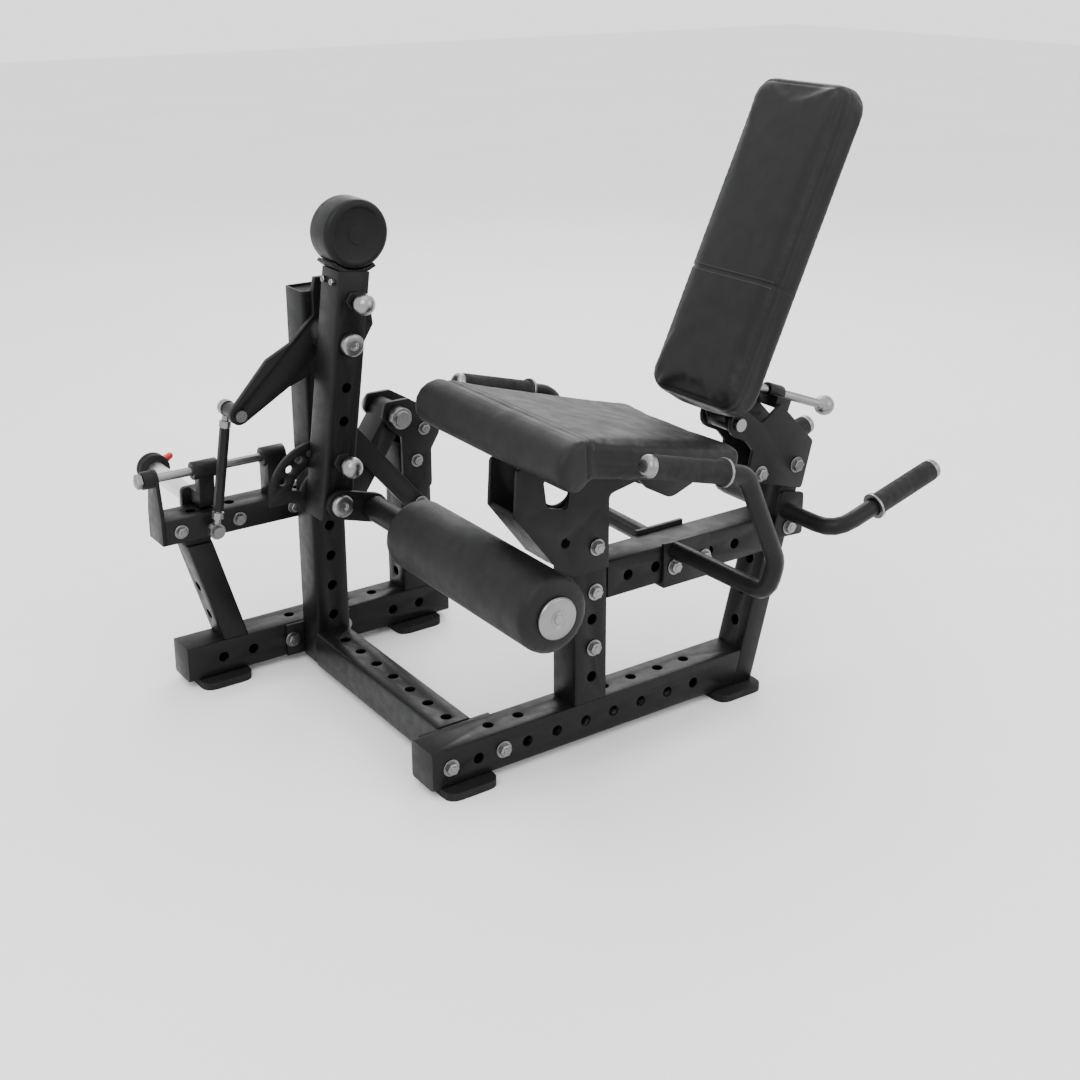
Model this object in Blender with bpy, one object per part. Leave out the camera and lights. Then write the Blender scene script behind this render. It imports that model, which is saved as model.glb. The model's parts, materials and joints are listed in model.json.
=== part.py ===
"""Plate-loaded leg extension and lying leg curl machine.

Every length below is in millimetres in a bench frame: x = 0 is the outer face of the main rail,
y = 0 its front end and z = 0 its underside.  The user faces -Y.  world() turns that frame into
metres with the origin on the floor under the middle of the machine.
"""
from math import asin, atan2, cos, hypot, pi, radians, sin, tan

import bmesh
import bpy
from mathutils import Matrix, Vector

# ---- driving dimensions ---------------------------------------------------------------------
MM = 0.001
MIDDLE = Vector((-276.6, 326.4, -12.0))     # bench point on the floor under the middle
GAP = 0.3                                   # clearance between neighbouring pieces
TUBE = 57.0                                 # square frame tube
FLAT_TUBE = 38.0                            # short side of the flatter tube
WALL = 3.0
PLATE = 6.0
CORNER = 5.0                                # corner radius of the tube
HOLE = 8.0                                  # radius of the adjustment holes
PITCH = 50.8                                # spacing of the adjustment holes
FOOT = 12.0                                 # thickness of a foot

RAIL_X = (-TUBE, 0.0)                       # main rail, seat upright, mid beam and rear post
FAR_X = (-552.5, -495.5)                    # far rail
TOWER_X = (-491.0, -434.0)
TOWER_Y = (48.5, 105.5)
TOWER_TOP = 612.0
FAR_UPRIGHT_Y = (241.5, 298.5)
FAR_UPRIGHT_TOP = 318.0
SEAT_UPRIGHT_Y = (238.5, 295.5)
SEAT_UPRIGHT_TOP = 330.0
MID_BEAM_Z = (211.5, 268.5)
POST_FRONT = 541.5                          # front face of the rear post at z = 0
POST_SLOPE = 0.27                           # how far the rear post leans back per unit of height
POST_DEPTH = 38.5
POST_TOP = 376.0

ARM_PIVOT = (74.5, 550.0)                   # (y, z) of the main shaft
ANKLE_PIVOT = (44.0, 309.0)                 # (y, z) of the roller carrier's shaft
ROLLER_AXIS = (99.8, 292.5)
CRANK_TIP = (-66.0, 444.0)
LINK_FOOT = (-95.0, 253.0)
LEVER_PIVOT = (234.0, 370.0)
BACK_HINGE = (529.0, 432.0)
ROD_AXIS = (-524.0, 336.0)                  # (x, z) of the guide rod
HORN_AXIS = (-87.0, 272.0)                  # (y, z) of the weight horn

ARM_X = (-392.0, -335.0)
ARM_DEPTH = 50.8
CRANK_X = (-430.0, -421.0)
QUADRANT_X = (-404.0, -396.0)
CARRIER_X = (-334.0, -325.0)
LINK_X = (-476.0, -464.0)
LEVER_X = (-551.0, -497.0)
LEVER_Z = (235.0, 273.0)
ROLLER_X = (-205.0, 150.0)

SHAFT = 15.0                                # main shaft radius
ANKLE_SHAFT = 12.0
LEVER_SHAFT = 13.0
PIN = 6.0                                   # pop pin radius
PIN_REACH = 65.0                            # pop pin to pivot
BALL = 16.0                                 # ball knob radius
LINK_BOLT = 5.0
HANDLE = 13.5                               # handle tube radius
GRIP = 15.8
ROLLER = 53.5
AXLE = 19.5

SEAT_TILT = radians(14.8)
SEAT_FRONT = (146.0, 517.0)                 # top front crease of the seat
SEAT_LENGTH = 322.0
SEAT_THICK = 48.0
SEAT_ROLL = 36.0
SEAT_HALF = (183.0, 135.0)                  # half width at the front and at the rear
CENTRE_X = -28.5                            # middle plane of the bench

BACK_LEAN = radians(65.0)                   # backrest above the horizontal
BACK_RUN = (4.0, 506.0)                     # pad along its length, from the hinge
BACK_DEPTH = (38.5, 88.0)                   # pad in front of the hinge
BACK_HALF = 100.0
BACK_PIN_NOSE = (588.8, 471.9)
BACK_PIN_SLOPE = radians(-20.8)
BACK_SECTOR = 71.0


# ---- shapes ---------------------------------------------------------------------------------
def world(point):
    """Bench millimetres to world metres."""
    return (Vector(point) - MIDDLE) * MM


def prism(outline, axis, low, high):
    """A polygon extruded along one axis; its points are the two other coordinates in order."""
    mesh = bmesh.new()
    index = "xyz".index(axis)
    rows = []
    for level in (low, high):
        row = []
        for first, second in outline:
            place = [first, second]
            place.insert(index, level)
            row.append(mesh.verts.new(place))
        rows.append(row)
    count = len(outline)
    mesh.faces.new(rows[0])
    mesh.faces.new(rows[1])
    for i in range(count):
        j = (i + 1) % count
        mesh.faces.new((rows[0][i], rows[0][j], rows[1][j], rows[1][i]))
    bmesh.ops.recalc_face_normals(mesh, faces=mesh.faces)
    return mesh


def rectangle(first, second):
    return [(first[0], second[0]), (first[1], second[0]), (first[1], second[1]), (first[0], second[1])]


def block(x, y, z):
    return prism(rectangle(x, y), "z", z[0], z[1])


def arc(centre, radius, start, end, steps):
    """Points on an arc, angles in degrees from the first coordinate towards the second."""
    points = []
    for i in range(steps + 1):
        angle = radians(start + (end - start) * i / steps)
        points.append((centre[0] + radius * cos(angle), centre[1] + radius * sin(angle)))
    return points


def rounded(points, radius, steps=3):
    """A closed polygon with its corners rounded; a point may carry its own radius."""
    result = []
    count = len(points)
    for i, point in enumerate(points):
        here = Vector(point[:2])
        back = Vector(points[i - 1][:2]) - here
        ahead = Vector(points[(i + 1) % count][:2]) - here
        size = point[2] if len(point) > 2 else radius
        half = back.angle(ahead) / 2
        reach = min(size / tan(half), back.length * 0.49, ahead.length * 0.49)
        if reach < 0.2:
            result.append(tuple(here))
            continue
        start = here + back.normalized() * reach
        end = here + ahead.normalized() * reach
        for k in range(steps + 1):
            t = k / steps
            spot = start * (1 - t) ** 2 + here * 2 * t * (1 - t) + end * t ** 2
            result.append((spot.x, spot.y))
    return result


def tube_profile(first, second):
    return rounded(rectangle(first, second), CORNER, 2)


def cylinder(axis, centre, radius, low, high, sides=12):
    """A cylinder along an axis; centre holds the two other coordinates in order."""
    return prism(arc(centre, radius, 0, 360 - 360 / sides, sides - 1), axis, low, high)


def bore_tool(axis, centre, radius, low, high, sides=14):
    """A cutter whose flats, not its corners, lie at the radius, so that a shaft inside stays clear."""
    return cylinder(axis, centre, radius / cos(pi / sides), low, high, sides)


def turned(start, direction, profile, sides=12):
    """A solid of revolution; profile lists (distance along, radius), radius 0 only at an end."""
    mesh = bmesh.new()
    along = Vector(direction).normalized()
    turn = along.to_track_quat("Z", "Y").to_matrix()
    rings = []
    for distance, radius in profile:
        centre = Vector(start) + along * distance
        if radius == 0:
            rings.append([mesh.verts.new(centre)])
            continue
        ring = []
        for i in range(sides):
            angle = 2 * pi * i / sides
            ring.append(mesh.verts.new(centre + turn @ Vector((radius * cos(angle), radius * sin(angle), 0))))
        rings.append(ring)
    for low, high in zip(rings, rings[1:]):
        for i in range(sides):
            j = (i + 1) % sides
            corners = [low[i % len(low)], low[j % len(low)], high[j % len(high)], high[i % len(high)]]
            unique = list(dict.fromkeys(corners))
            mesh.faces.new(unique)
    for ring in (rings[0], rings[-1]):
        if len(ring) > 1:
            mesh.faces.new(ring)
    bmesh.ops.recalc_face_normals(mesh, faces=mesh.faces)
    return mesh


def drill(start, direction, radius, length, sides=12):
    """A round cutter along a direction, with its flats at the radius."""
    reach = radius / cos(pi / sides)
    return turned(start, direction, [(0, reach), (length, reach)], sides)


def ball_profile(centre, radius, neck, steps=5):
    """Profile of a ball that grows out of a neck at a distance along the axis."""
    first = pi - asin(neck / radius)
    points = []
    for i in range(steps + 1):
        angle = first * (1 - i / steps)
        points.append((centre + radius * cos(angle), radius * sin(angle) if i < steps else 0))
    return points


def bent_path(points, radius, steps=4):
    """A 3-D route with its inner corners rounded."""
    route = [Vector(points[0])]
    for i in range(1, len(points) - 1):
        here = Vector(points[i])
        back = Vector(points[i - 1]) - here
        ahead = Vector(points[i + 1]) - here
        half = back.angle(ahead) / 2
        reach = min(radius / tan(half), back.length * 0.49, ahead.length * 0.49)
        start = here + back.normalized() * reach
        end = here + ahead.normalized() * reach
        for k in range(steps + 1):
            t = k / steps
            route.append(start * (1 - t) ** 2 + here * 2 * t * (1 - t) + end * t ** 2)
    route.append(Vector(points[-1]))
    return route


def swept(route, radius, sides=10):
    """A round bar along a route."""
    mesh = bmesh.new()
    rings = []
    side = None
    for i, point in enumerate(route):
        before = route[max(i - 1, 0)]
        after = route[min(i + 1, len(route) - 1)]
        along = (after - before).normalized()
        if side is None:
            side = along.orthogonal().normalized()
        side = (side - along * side.dot(along)).normalized()
        other = along.cross(side)
        ring = []
        for k in range(sides):
            angle = 2 * pi * k / sides
            ring.append(mesh.verts.new(point + (side * cos(angle) + other * sin(angle)) * radius))
        rings.append(ring)
    for low, high in zip(rings, rings[1:]):
        for k in range(sides):
            j = (k + 1) % sides
            mesh.faces.new((low[k], low[j], high[j], high[k]))
    mesh.faces.new(rings[0])
    mesh.faces.new(rings[-1])
    bmesh.ops.recalc_face_normals(mesh, faces=mesh.faces)
    return mesh


def leaned(mesh, centre, angle):
    """Tip a shape about an axis along X through (y, z); a positive angle takes its top back."""
    pivot = Vector((0, centre[0], centre[1]))
    turn = Matrix.Translation(pivot) @ Matrix.Rotation(-angle, 4, "X") @ Matrix.Translation(-pivot)
    bmesh.ops.transform(mesh, matrix=turn, verts=mesh.verts)
    return mesh


def sheared(mesh, slope):
    """Lean a shape back by moving each point along Y in proportion to its height."""
    for vert in mesh.verts:
        vert.co.y += slope * vert.co.z
    return mesh


def merged(meshes):
    """Several separate shapes in one mesh, for cutters that don't touch each other."""
    result = bmesh.new()
    for mesh in meshes:
        copy = bpy.data.meshes.new("part_of_cutter")
        mesh.to_mesh(copy)
        result.from_mesh(copy)
        bpy.data.meshes.remove(copy)
    return result


# ---- objects --------------------------------------------------------------------------------
def material(name, color, roughness, metallic):
    made = bpy.data.materials.get(name)
    if made is None:
        made = bpy.data.materials.new(name)
        made.use_nodes = True
        shader = made.node_tree.nodes["Principled BSDF"]
        shader.inputs["Base Color"].default_value = (*color, 1)
        shader.inputs["Roughness"].default_value = roughness
        shader.inputs["Metallic"].default_value = metallic
    return made


def black_paint():
    return material("black_paint", (0.02, 0.02, 0.022), 0.45, 0.0)


def bright_steel():
    return material("bright_steel", (0.75, 0.76, 0.78), 0.2, 1.0)


def black_vinyl():
    return material("black_vinyl", (0.025, 0.025, 0.027), 0.5, 0.0)


def black_rubber():
    return material("black_rubber", (0.03, 0.03, 0.03), 0.8, 0.0)


def red_plastic():
    return material("red_plastic", (0.6, 0.03, 0.03), 0.4, 0.0)


def bronze():
    return material("bronze", (0.5, 0.32, 0.13), 0.35, 1.0)


def raw_object(name, mesh, origin, paint):
    """An object with its mesh in metres about an origin given in bench millimetres."""
    base = world(origin)
    for vert in mesh.verts:
        vert.co = world(vert.co) - base
    data = bpy.data.meshes.new(name)
    mesh.to_mesh(data)
    mesh.free()
    data.materials.append(paint)
    made = bpy.data.objects.new(name, data)
    made.location = base
    bpy.context.scene.collection.objects.link(made)
    return made


def boolean(target, name, mesh, operation, origin, paint):
    tool = raw_object(name, mesh, origin, paint)
    tool.hide_render = True
    tool.display_type = "WIRE"
    step = target.modifiers.new(name, "BOOLEAN")
    step.operation = operation
    step.solver = "EXACT"
    step.object = tool


def part(name, paint, solids, hollows=(), holes=(), origin=(0, 0, 0), smooth=False):
    """One node: solids joined, then each hollow and all the holes cut away."""
    made = raw_object(name, solids[0], origin, paint)
    for i, mesh in enumerate(solids[1:]):
        boolean(made, f"{name}_add_{i}", mesh, "UNION", origin, paint)
    for i, mesh in enumerate(hollows):
        boolean(made, f"{name}_hollow_{i}", mesh, "DIFFERENCE", origin, paint)
    if holes:
        boolean(made, f"{name}_holes", merged(holes), "DIFFERENCE", origin, paint)
    if smooth:
        made.data.shade_smooth()
        made.data.set_sharp_from_angle(angle=radians(35))
    return made


def on_x(pivot, x=0.0):
    return (x, pivot[0], pivot[1])


def polar(centre, radius, degrees):
    return arc(centre, radius, degrees, degrees, 1)[0]


def arm_angle():
    return atan2(ARM_PIVOT[0] - ANKLE_PIVOT[0], ARM_PIVOT[1] - ANKLE_PIVOT[1])


# ---- frame ----------------------------------------------------------------------------------
def side_holes(x, places, radius=HOLE, sides=8):
    return [cylinder("x", place, radius, x[0] - 5, x[1] + 5, sides) for place in places]


def top_holes(z, places, radius=HOLE, sides=8):
    return [cylinder("z", place, radius, z[0] - 5, z[1] + 5, sides) for place in places]


def behind_post_face():
    """Everything behind the rear post's front face, as a cutter for the tubes that meet it."""
    line = [(POST_FRONT - GAP - POST_SLOPE * 20, -20), (POST_FRONT - GAP + POST_SLOPE * 400, 400)]
    return prism(line + [(900, 400), (900, -20)], "x", RAIL_X[0] - 20, RAIL_X[1] + 20)


def main_rail():
    solid = prism(tube_profile(RAIL_X, (0, TUBE)), "y", 0, 575)
    inner = block((RAIL_X[0] + WALL, RAIL_X[1] - WALL), (4, 620), (WALL, TUBE - WALL))
    sides = side_holes(RAIL_X, [(74.0, 29.0)] + [(156.1 + PITCH * k, 29.0) for k in range(7)])
    tops = top_holes((0, TUBE), [(CENTRE_X, 107.7 + PITCH * k) for k in (0, 1, 4, 5, 6, 7)])
    part("main_rail", black_paint(), [solid], [inner, behind_post_face()], sides + tops)


def cross_beam():
    y = (43.5, 100.5)
    x = (TOWER_X[1] + GAP, RAIL_X[0] - GAP - PLATE + 1)
    solid = prism(tube_profile(y, (0, TUBE)), "x", x[0], x[1])
    flange = block((RAIL_X[0] - GAP - PLATE, RAIL_X[0] - GAP), (14, 130), (2, 55))
    inner = block((x[0] - 5, RAIL_X[0] - GAP - PLATE), (y[0] + WALL, y[1] - WALL), (WALL, TUBE - WALL))
    tops = top_holes((0, TUBE), [(-387.8 + PITCH * k, 72.0) for k in range(7)])
    part("cross_beam", black_paint(), [solid, flange], [inner], tops)


def tower_column():
    solid = prism(tube_profile(TOWER_X, TOWER_Y), "z", 0, TOWER_TOP)
    flange = block((FAR_X[1] + GAP, TOWER_X[0] + 1), (20, 134), (2, 55))
    inner = block((TOWER_X[0] + WALL, TOWER_X[1] - WALL), (TOWER_Y[0] + WALL, TOWER_Y[1] - WALL), (4, 700))
    levels = [81.6 + PITCH * k for k in (0, 1, 2, 3, 4, 5, 6, 7, 8, 10)]
    holes = side_holes(TOWER_X, [(77.0, z) for z in levels])
    bore = bore_tool("x", ARM_PIVOT, SHAFT + GAP, TOWER_X[0] - 5, TOWER_X[1] + 5)
    part("tower_column", black_paint(), [solid, flange], [inner], holes + [bore])


def far_rail():
    solid = prism(tube_profile(FAR_X, (0, TUBE)), "y", -146, 327)
    inner = block((FAR_X[0] + WALL, FAR_X[1] - WALL), (-142, 360), (WALL, TUBE - WALL))
    places = [-87 + PITCH * k for k in (0, 1, 5, 6, 7)]
    sides = side_holes(FAR_X, [(y, 29.0) for y in places[:2] + places[3:]])
    tops = top_holes((0, TUBE), [(-524, y + PITCH / 2) for y in (15.0, 65.8, 116.6, 167.4)])
    part("far_rail", black_paint(), [solid], [inner], sides + tops)


def far_upright():
    x = (FAR_X[0] + 0.5, FAR_X[1] - 0.5)
    solid = prism(tube_profile(x, FAR_UPRIGHT_Y), "z", TUBE + GAP, FAR_UPRIGHT_TOP)
    outline = [(243, 236), (297, 236), (297, 302), (314, 330), (296, 372), (256, 396), (214, 396),
               (207, 370), (222, 348), (243, 332)]
    plates = []
    for low in (x[0] - PLATE, x[1] - 1):
        plates.append(prism(rounded(outline, 9), "x", low, low + PLATE + 1))
    inner = block((x[0] + WALL, x[1] - WALL), (FAR_UPRIGHT_Y[0] + WALL, FAR_UPRIGHT_Y[1] - WALL), (0, 400))
    holes = side_holes((x[0] - PLATE, x[1] + PLATE), [(269, 287)])
    holes += [bore_tool("x", LEVER_PIVOT, LEVER_SHAFT + GAP, x[0] - 20, x[1] + 20)]
    holes += [cylinder("y", (-524, z), HOLE, 200, 350, 8) for z in (84.7, 135.5)]
    part("far_upright", black_paint(), [solid] + plates, [inner], holes)


def rest_strut():
    slope = -0.29
    foot = -84 - slope * TUBE
    x = (FAR_X[0] + 0.5, FAR_X[1] - 0.5)
    solid = sheared(prism(tube_profile(x, (foot, foot + 42)), "z", TUBE + GAP, 225), slope)
    inside = block((x[0] + WALL, x[1] - WALL), (foot + WALL, foot + 42 - WALL), (TUBE - 10, 219))
    inner = sheared(inside, slope)
    holes = [cylinder("y", (-524, 95 + PITCH * k), HOLE, -200, 20, 8) for k in range(2)]
    part("rest_strut", black_paint(), [solid], [inner], holes)
    pad = block((x[0] + 5, x[1] - 5), (-134, -92), (225 + GAP, LEVER_Z[0] - 0.5))
    part("rest_pad", black_rubber(), [pad])


def diagonal_brace():
    outline = [(TOWER_Y[1] + GAP, 428), (290, 207), (262, 188), (TOWER_Y[1] + GAP, 375)]
    solid = prism(outline, "x", -488, -480)
    part("diagonal_brace", black_paint(), [solid], (), [cylinder("x", (269, 214), HOLE, -500, -470, 8)])


def seat_upright():
    solid = prism(tube_profile(RAIL_X, SEAT_UPRIGHT_Y), "z", TUBE + GAP, SEAT_UPRIGHT_TOP)
    y = (SEAT_UPRIGHT_Y[0] + WALL, SEAT_UPRIGHT_Y[1] - WALL)
    inner = block((RAIL_X[0] + WALL, RAIL_X[1] - WALL), y, (0, SEAT_UPRIGHT_TOP - 4))
    holes = side_holes(RAIL_X, [(268, 97), (268, 187.3)])
    part("seat_upright", black_paint(), [solid], [inner], holes)


def mid_beam():
    start = SEAT_UPRIGHT_Y[1] + GAP
    solid = prism(tube_profile(RAIL_X, MID_BEAM_Z), "y", start, 640)
    z = (MID_BEAM_Z[0] + WALL, MID_BEAM_Z[1] - WALL)
    inner = block((RAIL_X[0] + WALL, RAIL_X[1] - WALL), (start - 5, 660), z)
    holes = side_holes(RAIL_X, [(332 + PITCH * k, 240) for k in (0, 1, 3, 4)])
    part("mid_beam", black_paint(), [solid], [inner, behind_post_face()], holes)


def rear_post():
    y = (POST_FRONT, POST_FRONT + POST_DEPTH)
    solid = sheared(prism(tube_profile(RAIL_X, y), "z", 0, POST_TOP), POST_SLOPE)
    inside = block((RAIL_X[0] + WALL, RAIL_X[1] - WALL), (y[0] + WALL, y[1] - WALL), (4, 420))
    inner = sheared(inside, POST_SLOPE)
    holes = [cylinder("y", (CENTRE_X, z), HOLE, 500, 720, 8) for z in (94.9, 143.9, 192.9, 340.4)]
    part("rear_post", black_paint(), [solid], [inner], holes)


def head_plates():
    outline = [(683.5, 377.5), (663.5, 303.4), (549.5, 338.3), (560.5, 384.6), (546, 402, 12), (511, 418, 24),
               (515, 452, 20), (548, 448, 16), (576, 424, 8), (613.7, 448.3)]
    for name, low in (("head_plate_left", RAIL_X[0] - GAP - PLATE), ("head_plate_right", RAIL_X[1] + GAP)):
        solid = prism(rounded(outline, 7), "x", low, low + PLATE)
        bore = bore_tool("x", BACK_HINGE, 6 + GAP, low - 5, low + PLATE + 5, 12)
        part(name, black_paint(), [solid], (), [bore], on_x(BACK_HINGE))


def feet():
    places = {"front_near": (-29, 14, 97), "rear_near": (-29, 502, 588),
              "front_far": (-524, -129, -46), "rear_far": (-524, 219, 304)}
    for name, (x, low, high) in places.items():
        outline = rounded(rectangle((x - 50, x + 50), (low, high)), 20, 4)
        part(f"foot_{name}", black_rubber(), [prism(outline, "z", -FOOT, -GAP)])


# ---- seat -----------------------------------------------------------------------------------
def seat_underside(y):
    return SEAT_FRONT[1] - tan(SEAT_TILT) * (y - SEAT_FRONT[0]) - SEAT_THICK / cos(SEAT_TILT)


def seat_pad():
    """Tapered pad with a half-round roll along its front edge."""
    down = 90 - 14.8 - 180
    centre = polar(SEAT_FRONT, SEAT_ROLL, down)
    outline = arc(centre, SEAT_ROLL, 75.2, 285, 10)
    corner = polar(SEAT_FRONT, SEAT_THICK, down)
    back = (cos(SEAT_TILT), -sin(SEAT_TILT))
    outline.append((corner[0] + 26 * back[0], corner[1] + 26 * back[1]))
    outline += [(p[0] + SEAT_LENGTH * back[0], p[1] + SEAT_LENGTH * back[1]) for p in (corner, SEAT_FRONT)]
    mesh = prism(outline, "x", -1, 1)
    front = centre[0]
    for vert in mesh.verts:
        part_way = min(max((vert.co.y - front) / SEAT_LENGTH, 0), 1)
        half = SEAT_HALF[0] + (SEAT_HALF[1] - SEAT_HALF[0]) * part_way
        vert.co.x = CENTRE_X + vert.co.x * half
    part("seat_pad", black_vinyl(), [mesh])


def seat_bracket():
    """Two side plates round the upright, joined by a sloping front web and a top flange."""
    clear = 1.0
    outline = [(231, 264), (197, 290, 6), (134, 373, 6), (138, 440, 6), (158, 443, 4),
               (166, seat_underside(166) - clear), (450, seat_underside(450) - clear),
               (447, 360, 10), (403, 344, 24), (360, 368, 10), (344, 384, 4), (292, 374, 10), (292, 264)]
    left = RAIL_X[0] - GAP - PLATE
    right = RAIL_X[1] + GAP
    plates = [prism(rounded(outline, 3), "x", low, low + PLATE) for low in (left, right)]
    web = prism([(197, 290), (134, 373), (139, 377), (202, 294)], "x", left + 1, right + PLATE - 1)
    flange = [(168, seat_underside(168) - clear), (440, seat_underside(440) - clear)]
    flange += [(440, seat_underside(440) - clear - PLATE), (168, seat_underside(168) - clear - PLATE)]
    top = prism(flange, "x", left - 34, right + PLATE + 34)
    window = prism(rounded([(178, 436), (186, 376), (221, 366), (228, 424)], 8), "x", -120, 60)
    holes = side_holes((-120, 60), [(217, 318)])
    part("seat_bracket", black_paint(), [plates[0], web, top, plates[1]], [window], holes)


# ---- backrest -------------------------------------------------------------------------------
def back_point(run, rise):
    """Bench (y, z) of a point given along the backrest and in front of its hinge."""
    along = (cos(BACK_LEAN), sin(BACK_LEAN))
    y = BACK_HINGE[0] + run * along[0] - rise * along[1]
    z = BACK_HINGE[1] + run * along[1] + rise * along[0]
    return (y, z)


def back_outline(points):
    return [back_point(run, rise) for run, rise in points]


def backrest_pad():
    outline = back_outline(rectangle(BACK_RUN, BACK_DEPTH))
    solid = prism(outline, "x", CENTRE_X - BACK_HALF, CENTRE_X + BACK_HALF)
    edges = [edge for edge in solid.edges if edge.calc_length() < BACK_DEPTH[1] - BACK_DEPTH[0] + 1]
    bmesh.ops.bevel(solid, geom=edges, offset=30, segments=4, profile=0.5, affect="EDGES")
    part("backrest_pad", black_vinyl(), [solid], origin=on_x(BACK_HINGE))


def backrest_frame():
    """Side arms, mounting plate and slotted sector that turn about the backrest hinge."""
    side = back_outline([(-15, 4), (-10, -12), (8, -15), (56, 8), (330, 16), (330, 35), (24, 35)])
    plate = back_outline([(20, 34), (440, 34), (440, 38), (20, 38)])
    web = back_outline([(10, 4), (92, 35), (30, 35)])
    sector = [BACK_HINGE] + arc(BACK_HINGE, BACK_SECTOR, -4, 91, 8)
    solids = [prism(rounded(side, 6), "x", -52, -46), prism(plate, "x", CENTRE_X - 75, CENTRE_X + 75)]
    solids += [prism(rounded(side, 6), "x", -11, -5), cylinder("x", BACK_HINGE, 14, -51, -6)]
    solids += [prism(sector, "x", -34, -23), prism(web, "x", -33.5, -23.5)]
    slots = []
    start = Vector(BACK_PIN_NOSE) - Vector(BACK_HINGE)
    for degrees in (0, 16, 32, 48):
        spot = Vector(BACK_HINGE) + Matrix.Rotation(radians(degrees), 2) @ start
        slope = BACK_PIN_SLOPE + radians(degrees)
        along = Vector((0, cos(slope), sin(slope)))
        begin = Vector((CENTRE_X, spot.x, spot.y)) - along * 14
        slots.append(drill(begin, along, 7.6, 30, 8))
    bore = bore_tool("x", BACK_HINGE, 6 + GAP, -60, 5, 12)
    part("backrest_frame", black_paint(), solids, slots, [bore], on_x(BACK_HINGE))
    bolt = [(-6.5, 0), (-6.5, 10), (0, 10), (0, 6), (70.2, 6), (70.2, 10), (76.7, 10), (76.7, 0)]
    start = (RAIL_X[0] - GAP - PLATE - GAP, *BACK_HINGE)
    part("backrest_hinge_bolt", bright_steel(), [turned(start, (1, 0, 0), bolt)], smooth=True)


def backrest_pin():
    along = Vector((0, cos(BACK_PIN_SLOPE), sin(BACK_PIN_SLOPE)))
    nose = Vector((CENTRE_X, *BACK_PIN_NOSE))
    profile = [(0, 5), (2, 7), (145, 7)] + ball_profile(160, 16, 7)
    part("backrest_pin", bright_steel(), [turned(nose, along, profile)], origin=tuple(nose), smooth=True)
    across = Vector((0, along.z, -along.y))
    corners = []
    for distance, drop in ((27, 4), (57, 4), (57, 22), (27, 22)):
        corner = nose + along * distance + across * drop
        corners.append((corner.y, corner.z))
    housing = turned(nose + along * 26, along, [(0, 12), (32, 12)])
    base = prism(corners, "x", RAIL_X[0] + GAP, RAIL_X[1] - GAP)
    bore = drill(nose + along * 20, along, 7 + GAP, 50)
    part("pin_housing", black_paint(), [housing, base], [bore])


# ---- handles --------------------------------------------------------------------------------
def grip(name, end, start, radius):
    """A sleeve over the end of a handle tube, with a flange at its inner end."""
    end = Vector(end)
    along = Vector(start) - end
    length = along.length
    profile = [(0, 0), (0, radius - 4), (3, radius), (length - 6, radius), (length - 5, radius + 4),
               (length, radius + 4), (length, 0)]
    bore = drill(end + along.normalized() * 8, along, HANDLE + GAP, length)
    part(name, black_rubber(), [turned(end, along, profile, 12)], [bore], smooth=True)


def height_on(start, end, y):
    """Height at y of the line through two (y, z) points."""
    return start[1] + (end[1] - start[1]) * (y - start[0]) / (end[0] - start[0])


def side_handles():
    left = RAIL_X[0] - GAP - PLATE
    right = RAIL_X[1] + GAP
    y = (393, 480)
    solids = [block((left, right + PLATE), y, (MID_BEAM_Z[0] - GAP - PLATE, MID_BEAM_Z[0] - GAP))]
    for low in (left, right):
        solids.append(block((low, low + PLATE), y, (MID_BEAM_Z[0] - GAP - 1, 274)))
    tip, root = (200, 490), (335, 453)
    for side, start, reach in ((1, right + 2, 197), (-1, left + PLATE - 2, -253)):
        route = [(start, 413, 261), (reach, 418, 261), (reach, 433, 305)]
        route += [(reach, y, height_on(tip, root, y)) for y in (372, 212)]
        solids.append(swept(bent_path(route, 34), HANDLE))
        name = "side_grip_right" if side > 0 else "side_grip_left"
        grip(name, (reach, *tip), (reach, *root), GRIP)
    part("side_handles", black_paint(), solids, smooth=True)


def rear_handles():
    left = RAIL_X[0] - GAP - PLATE
    right = RAIL_X[1] + GAP
    outline = [(606, 232), (669, 228), (669, 296), (624, 306)]
    solids = []
    back = [(POST_FRONT + POST_DEPTH + GAP + POST_SLOPE * z, z) for z in (230, 294)]
    back += [(back[1][0] + PLATE, 294), (back[0][0] + PLATE, 230)]
    solids.append(prism(back, "x", left + 1, right + PLATE - 1))
    for low in (left, right):
        solids.append(prism(rounded(outline, 6), "x", low, low + PLATE))
    tip, root = (846, 331), (713, 294.5)
    for side, start, reach in ((1, right + 2, 110), (-1, left + PLATE - 2, -166)):
        bend = height_on(tip, root, 634)
        route = [(start, 634, bend), (reach, 634, bend), (reach, 835, height_on(tip, root, 835))]
        solids.append(swept(bent_path(route, 38), HANDLE))
        name = "rear_grip_right" if side > 0 else "rear_grip_left"
        grip(name, (reach, *tip), (reach, *root), GRIP + 0.7)
    part("rear_handles", black_paint(), solids, smooth=True)


# ---- leg arm --------------------------------------------------------------------------------
def main_shaft():
    """Fixed shaft through the tower with a large cap outside the leg arm."""
    start = TOWER_X[0] - 10
    cap = ARM_X[1] + GAP - start
    profile = [(0, 0), (0, 20), (10 - GAP, 20), (10 - GAP, SHAFT), (cap, SHAFT), (cap, 17), (cap + 12, 17),
               (cap + 14, 14), (cap + 14, 0)]
    part("main_shaft", bright_steel(), [turned((start, *ARM_PIVOT), (1, 0, 0), profile, 14)], smooth=True)
    inside = (TOWER_X[0] + WALL + GAP, TOWER_X[1] - WALL - GAP)
    sleeve = cylinder("x", ARM_PIVOT, 22, inside[0], inside[1])
    bore = bore_tool("x", ARM_PIVOT, SHAFT + GAP, inside[0] - 5, inside[1] + 5)
    part("shaft_sleeve", black_paint(), [sleeve], (), [bore])


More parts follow.
